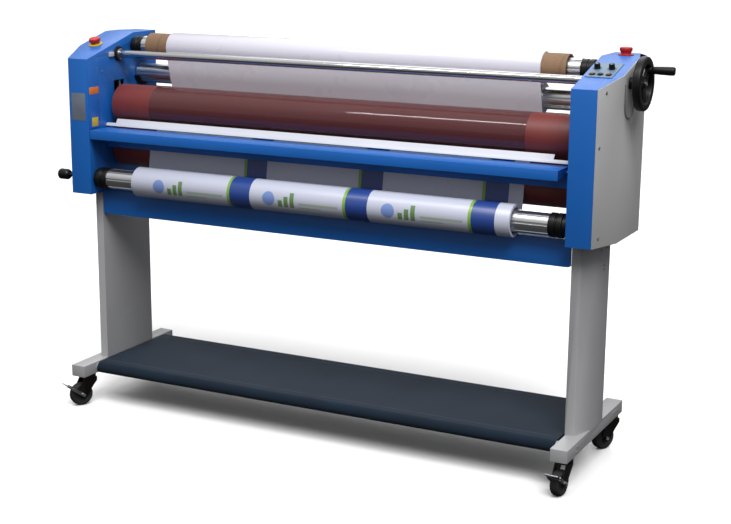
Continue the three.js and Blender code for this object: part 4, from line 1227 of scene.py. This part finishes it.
@dataclass
class LiftDrive(Assembly):
    """The pressure shaft with its flanges, and the handwheel with its crank."""

    rim_depth: float = 0.022
    rim_width: float = 0.022
    spoke_half: float = 0.014

    def build(self) -> None:
        """Makes every piece."""
        self.refine("lift_drive", Slot.CHROME, ("lift_shaft",), 0.3)
        self.flanges()
        self.wheel()
        self.grip()

    def flanges(self) -> None:
        """The black flange bearing and bright hub at each end of the shaft."""
        low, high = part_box("lift_shaft")
        at = Vector((0, (low.y + high.y) / 2, (low.z + high.z) / 2))
        _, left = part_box("left_cabinet")
        right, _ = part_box("right_cabinet")
        for side, wall, way in (("left", left.x, 1), ("right", right.x, -1)):
            ring = [(wall, 0.0129), (wall, 0.024), (wall + way * 0.004, 0.024),
                    (wall + way * 0.006, 0.019), (wall + way * 0.006, 0.0129)]
            self.maker.place(self.maker.turned(f"{side}_flange", self.maker.soften(ring, 0.0006,
                             True), at, segments=64, loop=True), "frame", Slot.BLACK)
            hub = [(wall + way * 0.0062, 0.0129), (wall + way * 0.0062, 0.0165),
                   (wall + way * 0.013, 0.0165), (wall + way * 0.013, 0.0129)]
            self.maker.place(self.maker.turned(f"{side}_hub", self.maker.soften(hub, 0.0006, True),
                             at, segments=64, loop=True), "lift_drive", Slot.STEEL)

    def wheel(self) -> None:
        """The thick-rimmed wheel with three spokes and a bright centre screw."""
        low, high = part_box("handwheel")
        grip_low, grip_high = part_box("crank_grip")
        at = Vector((0, (low.y + high.y) / 2, (low.z + high.z) / 2))
        radius = (high.z - low.z) / 2
        face = grip_low.x - 0.0005
        back = face - self.rim_depth
        inner = radius - self.rim_width
        rim = self.maker.soften([(back, inner), (back, radius), (face, radius), (face, inner)],
                                0.006, True, 5)
        bm = bmesh.new()
        self.maker.turned_mesh(bm, rim, at, X_AXIS, 96, True)
        hub_end = face - 0.004
        hub = self.maker.soften([(low.x, 0), (low.x, 0.017), (hub_end - 0.008, 0.0165),
                                 (hub_end, 0.012), (hub_end, 0)], 0.001)
        self.maker.turned_mesh(bm, hub, at, X_AXIS, 48, False)
        crank = Vector((0, (grip_low.y + grip_high.y) / 2, (grip_low.z + grip_high.z) / 2)) - at
        first = math.atan2(crank.z, crank.y)
        middle = (face + back) / 2
        for k in range(3):
            turn = Matrix.Translation(at) @ Euler((first + k * 2 * math.pi / 3, 0, 0)
                                                  ).to_matrix().to_4x4()
            self.maker.block_mesh(bm, Vector((middle - 0.004, 0.010, -self.spoke_half)),
                                  Vector((middle + 0.004, inner + 0.004, self.spoke_half)),
                                  0.002, turn)
        boss = self.maker.soften([(middle, 0), (middle, 0.012), (face, 0.0115), (face, 0)], 0.001)
        self.maker.turned_mesh(bm, boss, at + crank, X_AXIS, 40, False)
        pin = [(face - 0.001, 0), (face - 0.001, 0.004), (grip_high.x - 0.009, 0.004),
               (grip_high.x - 0.009, 0)]
        self.maker.turned_mesh(bm, pin, at + crank, X_AXIS, 20, False)
        self.maker.place(self.maker.closed(bm, "handwheel_casting"), "lift_drive", Slot.BLACK,
                         "handwheel")
        screw = Spot(at + X_AXIS * (hub_end + 0.001), X_AXIS, Vector((0, 1, 0)))
        SpotTree(Repeat.SOCKET_SCREW, 6.5, 3).set_out(self.maker, "wheel_screw", [screw],
                                                      "lift_drive", Slot.ZINC)

    def grip(self) -> None:
        """The slightly tapered crank handle."""
        low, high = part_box("crank_grip")
        at = Vector((0, (low.y + high.y) / 2, (low.z + high.z) / 2))
        r = (high.z - low.z) / 2
        end = high.x
        profile = [(end - 0.006, 0), (end - 0.006, 0.0045), (low.x, 0.0045), (low.x, r * 0.8),
                   (low.x + 0.006, r * 0.88), (end - 0.012, r), (end - 0.003, r * 0.98),
                   (end, r * 0.84), (end, 0)]
        self.maker.place(self.maker.turned("crank_handle", self.maker.soften(profile, 0.0012), at,
                                           segments=56), "crank_grip", Slot.BLACK, "crank_grip")


@dataclass
class Rollers(Assembly):
    """The two silicone rollers and the clear film that lies on the upper one."""

    film_gap: float = 0.0004

    def build(self) -> None:
        """Makes every piece."""
        for name in ("top_roller", "lower_roller"):
            low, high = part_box(f"{name}_sleeve")
            at = Vector((0, (low.y + high.y) / 2, (low.z + high.z) / 2))
            radius = (high.z - low.z) / 2
            bore = self.maker.fit(f"{name}_sleeve", X_AXIS, at)[3]
            sleeve = self.maker.tube(f"{name}_rubber", low.x, high.x, bore, radius, at, 0.0022, 128)
            self.maker.place(sleeve, name, Slot.SILICONE, f"{name}_sleeve")
            self.refine(name, Slot.STEEL, (f"{name}_core",), 0.3)
        for side in ("left", "right"):
            self.refine("roller_lift", Slot.STEEL, (f"{side}_bearing_block",), 0.5)
        self.film()

    def film(self) -> None:
        """Clear film from the top of the upper roller round its front to the nip."""
        low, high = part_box("top_roller_sleeve")
        web_low, web_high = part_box("film_web")
        y, z = (low.y + high.y) / 2, (low.z + high.z) / 2
        radius = (high.z - low.z) / 2 + self.film_gap
        path = [(y + radius * math.cos(a), z + radius * math.sin(a))
                for a in (math.radians(60 + 208 * k / 60) for k in range(61))]
        obj = self.maker.ribbon("roller_film", path, web_low.x, web_high.x, 0.0002)
        self.maker.place(obj, "roller_lift", "clear")


@dataclass
class Rolls(Assembly):
    """The film, liner and print rolls on their fluted shafts."""

    flutes: int = 8
    flute_depth: float = 0.0022
    flute_share: float = 0.3

    def build(self) -> None:
        """Makes every piece."""
        for node, body in (("supply_shaft", "supply_roll"), ("takeup_shaft", "liner_takeup"),
                           ("print_shaft", "print_unwind")):
            self.shaft(node, body)
        self.roll("supply_core", "supply_roll", Slot.CARD, 0.0006)
        self.roll("supply_film", "supply_roll", Slot.WHITE, 0.0012)
        self.roll("liner_roll", "liner_takeup", Slot.WHITE, 0.0012)
        self.roll("print_roll", "print_unwind", Slot.PRINT, 0.0012)
        for prefix, body in (("supply", "supply_roll"), ("print", "print_unwind")):
            for side in ("left", "right"):
                self.chuck(f"{prefix}_chuck_{side}", body, side)
        self.refine("peel_idler", Slot.CHROME, ("peel_idler",), 0.3)
        self.refine("tension_knob", Slot.BLACK, ("print_tension_knob",), 1.0)
        self.cup()

    def shaft(self, node: str, body: str) -> None:
        """A fluted bar with plain journals."""
        at, low, high, radius, journal = self.maker.round_bar(node)
        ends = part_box(node)
        bm = bmesh.new()
        outline = []
        for k in range(self.flutes):
            base = 2 * math.pi * k / self.flutes
            width = 2 * math.pi / self.flutes
            land = width * (1 - self.flute_share)
            outline += [(base + land * j / 8, radius) for j in range(9)]
            outline += [(base + land + width * self.flute_share * t, radius - self.flute_depth * d)
                        for t, d in ((0.12, 0.9), (0.3, 1), (0.5, 1), (0.7, 1), (0.88, 0.9))]
        rings = [[bm.verts.new((x, at.y + r * math.cos(a), at.z + r * math.sin(a)))
                  for a, r in outline] for x in (low, high)]
        count = len(outline)
        for k in range(count):
            n = (k + 1) % count
            bm.faces.new((rings[0][k], rings[0][n], rings[1][n], rings[1][k]))
        bm.faces.new(rings[0])
        bm.faces.new(rings[1])
        for inner, outer in ((low, ends[0].x), (high, ends[1].x)):
            way = 1 if outer > inner else -1
            stub = [(inner - way * 0.001, 0), (inner - way * 0.001, journal),
                    (outer, journal), (outer, 0)]
            self.maker.turned_mesh(bm, self.maker.soften(stub, 0.0006), at, X_AXIS, 40, False)
        self.maker.place(self.maker.closed(bm, f"{node}_fluted", 20), body, Slot.ALUMINIUM, node)

    def roll(self, node: str, body: str, finish: Slot, soft: float) -> None:
        """A roll or core tube with the windings' steps in its ends."""
        low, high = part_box(node)
        at = Vector((0, (low.y + high.y) / 2, (low.z + high.z) / 2))
        radius = (high.z - low.z) / 2
        bore = self.maker.fit(node, X_AXIS, at)[3]
        left, right = [], []
        turns = 7
        for k in range(1, turns):
            r = bore + (radius - bore) * k / turns
            step = 0.0004 if k % 2 else 0.0
            left.append((low.x + step, r))
            right.append((high.x - step, r))
        profile = [(low.x, bore), *left, (low.x, radius - soft), (low.x + soft * 0.4,
                   radius - soft * 0.4), (low.x + soft, radius), (high.x - soft, radius),
                   (high.x - soft * 0.4, radius - soft * 0.4), (high.x, radius - soft),
                   *reversed(right), (high.x, bore)]
        self.maker.place(self.maker.turned(f"{node}_wound", profile, at, segments=128, loop=True),
                         body, finish, node)

    def chuck(self, node: str, body: str, side: str) -> None:
        """A stepped black chuck with a narrow groove nearer the roll end."""
        low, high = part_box(node)
        at = Vector((0, (low.y + high.y) / 2, (low.z + high.z) / 2))
        radius = (high.z - low.z) / 2
        bore = self.maker.fit(node, X_AXIS, at)[3]
        outer, inner = (low.x, high.x) if side == "left" else (high.x, low.x)
        run = inner - outer
        profile = [(outer, bore), (outer, radius * 0.86), (outer + run * 0.2, radius * 0.86),
                   (outer + run * 0.24, radius), (outer + run * 0.52, radius),
                   (outer + run * 0.56, radius * 0.9), (outer + run * 0.62, radius * 0.9),
                   (outer + run * 0.66, radius), (inner, radius), (inner, bore)]
        self.maker.place(self.maker.turned(f"{node}_body", self.maker.soften(profile, 0.0008,
                         True), at, segments=72, loop=True), body, Slot.BLACK, node)

    def cup(self) -> None:
        """The black cradles under the take-up shaft's ends."""
        low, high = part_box("takeup_shaft")
        at = Vector((0, (low.y + high.y) / 2, (low.z + high.z) / 2))
        _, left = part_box("left_cabinet")
        right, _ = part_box("right_cabinet")
        for side, wall, way in (("left", left.x, 1), ("right", right.x, -1)):
            path = [(at.y + 0.036 * math.cos(a), at.z + 0.036 * math.sin(a))
                    for a in (math.radians(190 + 160 * k / 30) for k in range(31))]
            near, far = sorted((wall + way * 0.0003, wall + way * 0.016))
            self.maker.place(self.maker.ribbon(f"{side}_cradle", path, near, far, 0.005), "frame",
                             Slot.BLACK)


@dataclass
class Webs(Assembly):
    """The film, liner and print where they run between the rolls."""

    def build(self) -> None:
        """Makes every piece."""
        # The film web takes the brighter copy of the white film, which is painted light.
        self.refine("frame", "web", ("film_web",), 0)
        self.refine("frame", Slot.PRINT, ("print_web",), 0)


@dataclass
class Feed(Assembly):
    """The tilting table and the guard strip at the nip."""

    def build(self) -> None:
        """Makes every piece."""
        self.refine("feed_table", Slot.BLUE, ("feed_table",), 1.5)
        self.refine("frame", "guard", ("nip_guard",), 0.3)


@dataclass
class Casters(Assembly):
    """Four swivel casters, the front two with brakes."""

    corners: tuple[str, ...] = ("front_left", "front_right", "rear_left", "rear_right")
    hub_share: float = 0.66

    def build(self) -> None:
        """Makes every piece."""
        for corner in self.corners:
            self.refine(f"caster_swivel_{corner}", "fork", (f"caster_fork_{corner}",), 0.5)
            self.wheel(corner)
            if corner.startswith("front"):
                name = f"caster_brake_{corner}"
                self.refine(name, Slot.ZINC, (name,), 0.6)

    def wheel(self, corner: str) -> None:
        """A crowned tyre, its hub and the axle nuts."""
        node = f"caster_wheel_{corner}"
        point, axis, start, end, radius = self.maker.on_joint(f"caster_wheel_spin_{corner}", node)
        bore = self.maker.fit(node, axis, point)[3]
        rim = radius * self.hub_share
        middle, width = (start + end) / 2, end - start
        tyre = self.maker.soften([(start + 0.001, rim), (start, radius * 0.86),
                                  (start + width * 0.16, radius * 0.975), (middle, radius),
                                  (end - width * 0.16, radius * 0.975), (end, radius * 0.86),
                                  (end - 0.001, rim)], 0.0015, True)
        self.maker.place(self.maker.turned(f"caster_tyre_{corner}", tyre, point, axis, 80, True),
                         node, Slot.TYRE, node)
        hub = self.maker.soften([(start + 0.001, bore), (start + 0.001, rim * 0.42),
                                 (start + 0.005, rim * 0.5), (start + 0.005, rim * 0.86),
                                 (start + 0.0015, rim * 0.9), (start + 0.0015, rim - 0.0001),
                                 (end - 0.0015, rim - 0.0001), (end - 0.0015, rim * 0.9),
                                 (end - 0.005, rim * 0.86), (end - 0.005, rim * 0.5),
                                 (end - 0.001, rim * 0.42), (end - 0.001, bore)], 0.0008, True)
        self.maker.place(self.maker.turned(f"caster_hub_{corner}", hub, point, axis, 64, True),
                         node, "hub")
        fork = self.maker.fit(f"caster_fork_{corner}", axis, point)
        spots = [Spot(point + axis * (fork[0] + 0.0004), -axis, Z_AXIS),
                 Spot(point + axis * (fork[1] - 0.0004), axis, Z_AXIS)]
        SpotTree(Repeat.HEX_BOLT, 6.0, 2.4).set_out(self.maker, f"axle_nuts_{corner}", spots,
                                                    f"caster_swivel_{corner}", Slot.ZINC)


@dataclass
class Studio:
    """Floor, light and camera."""

    view_from: tuple[float, float, float] = (2.05264, -3.86386, 1.55080)
    turn: float = 26.8845
    dip: float = 13.1712
    roll: float = 0.4503
    lens: float = 71.987
    sensor: float = 36
    floor_reach: float = 90
    strip_width: float = 0.16

    def build(self) -> None:
        """Sets the stage."""
        self.floor()
        self.wall()
        bpy.context.scene.view_settings.view_transform = "Standard"
        world = bpy.data.worlds.new("studio")
        bpy.context.scene.world = world
        world.use_nodes = True
        self.sky(world.node_tree)
        self.lights()
        self.camera()

    def floor(self) -> None:
        """A pale floor that throws no light back onto the object."""
        reach = self.floor_reach
        mesh = bpy.data.meshes.new("studio_floor")
        mesh.from_pydata([(-reach, -reach, 0), (reach, -reach, 0), (reach, reach, 0),
                          (-reach, reach, 0)], [], [(0, 1, 2, 3)])
        floor = show("studio_floor", mesh)
        g = Graph("pale_floor", 0.7)
        g.join(g.ramp(g.noise(1.5, 2), [(0.3, (0.9, 0.9, 0.9)), (0.7, (0.93, 0.93, 0.93))]),
               g.surface.inputs["Base Color"])
        mesh.materials.append(g.material)
        floor.visible_diffuse = floor.visible_glossy = False
        floor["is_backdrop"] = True

    def lights(self) -> None:
        """A high key light, a weak one behind, and a strip that draws a line on round bars."""
        for name, kind, at, size, power in (
                ("key_light", "SUN", (1.1, -1.5, 2.3), math.radians(28), 2.3),
                ("back_light", "SUN", (-0.8, 2.0, 1.8), math.radians(40), 0.6),
                ("strip_light", "AREA", (0.3, -1.2, 3.2), 3.4, 40)):
            light = bpy.data.lights.new(name, kind)
            light.energy = power
            if kind == "SUN":
                light.angle = size
            else:
                light.shape, light.size, light.size_y = "RECTANGLE", size, self.strip_width
            lamp = show(name, light)
            lamp.location = at
            lamp.rotation_euler = (-Vector(at)).to_track_quat("-Z", "Y").to_euler()
            lamp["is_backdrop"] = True

    @staticmethod
    def wall() -> None:
        """A white wall round the floor's far edge, which casts and reflects nothing."""
        reach, tall, turns = 88.0, 60.0, 48
        ring = [(reach * math.cos(math.tau * k / turns), reach * math.sin(math.tau * k / turns))
                for k in range(turns)]
        mesh = bpy.data.meshes.new("studio_wall")
        mesh.from_pydata([(x, y, z) for z in (-0.5, tall) for x, y in ring], [],
                         [(k, (k + 1) % turns, turns + (k + 1) % turns, turns + k)
                          for k in range(turns)])
        wall = show("studio_wall", mesh)
        g = Graph("white_wall", 0.9)
        g.join(g.ramp(g.noise(0.5, 1), [(0.3, (0.99, 0.99, 0.99)), (0.7, (1.0, 1.0, 1.0))]),
               g.surface.inputs["Emission Color"])
        g.surface.inputs["Emission Strength"].default_value = 1.0
        mesh.materials.append(g.material)
        wall.visible_diffuse = wall.visible_glossy = wall.visible_shadow = False
        wall.visible_transmission = False
        wall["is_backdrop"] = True

    @staticmethod
    def sky(tree: bpy.types.NodeTree) -> None:
        """Soft light that is bright overhead and dim at the horizon."""
        where, split = tree.nodes.new("ShaderNodeTexCoord"), tree.nodes.new("ShaderNodeSeparateXYZ")
        ramp = tree.nodes.new("ShaderNodeValToRGB")
        bands = ramp.color_ramp.elements
        for place, level in ((0.0, 0.06), (0.05, 0.42), (0.4, 0.46), (0.75, 0.85)):
            band = bands.new(place) if 0 < place < 1 else bands[0]
            band.position, band.color = place, (level, level, level, 1)
        bands[-1].color = (0.95, 0.95, 0.95, 1)
        tree.links.new(where.outputs["Generated"], split.inputs[0])
        tree.links.new(split.outputs[2], ramp.inputs["Fac"])
        tree.links.new(ramp.outputs["Color"], tree.nodes["Background"].inputs["Color"])

    def camera(self) -> None:
        """The main view."""
        left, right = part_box("left_leg"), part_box("right_leg")
        centre = Vector(((left[0].x + right[1].x) / 2, (left[0].y + left[1].y) / 2, 0))
        data = bpy.data.cameras.new("main_view")
        data.lens, data.sensor_width, data.sensor_fit = self.lens, self.sensor, "HORIZONTAL"
        camera = show("main_view", data)
        camera.matrix_world = (Matrix.Translation(centre + Vector(self.view_from))
                               @ Matrix.Rotation(math.radians(self.turn), 4, "Z")
                               @ Matrix.Rotation(math.radians(90 - self.dip), 4, "X")
                               @ Matrix.Rotation(math.radians(self.roll), 4, "Z"))
        bpy.context.scene.camera = camera


def dress_rest(maker: Maker) -> None:
    """Gives every CAD node its finish, shown or not."""
    named = {f.value: f for f in Slot}
    slots = {p["node"]: p["material_slot"] for p in maker.frame["record"]["subparts"]}
    for name, node in maker.frame["nodes"].items():
        slot = named.get(slots.get(name), Slot.STEEL)
        node.data.materials.clear()
        node.data.materials.append(maker.materials[slot])


def corners(bounds: object) -> list[list[float]]:
    """Bounds as plain lists of numbers."""
    return [[float(c) for c in corner] for corner in bounds]


def main() -> None:
    """Builds the object in order and sets the stage."""
    logging.basicConfig(level=logging.INFO, format="%(name)s: %(message)s")
    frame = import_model()
    before = corners(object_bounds())
    maker = Maker(frame)
    dress_rest(maker)
    for assembly in (Stand, Cabinets, Controls, LiftDrive, Rollers, Rolls, Webs, Feed, Casters):
        LOG.info("building %s", assembly.__name__)
        assembly(maker).build()
    Studio().build()
    {"cad": before, "visual": corners(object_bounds())}


if __name__ == "__main__":
    main()
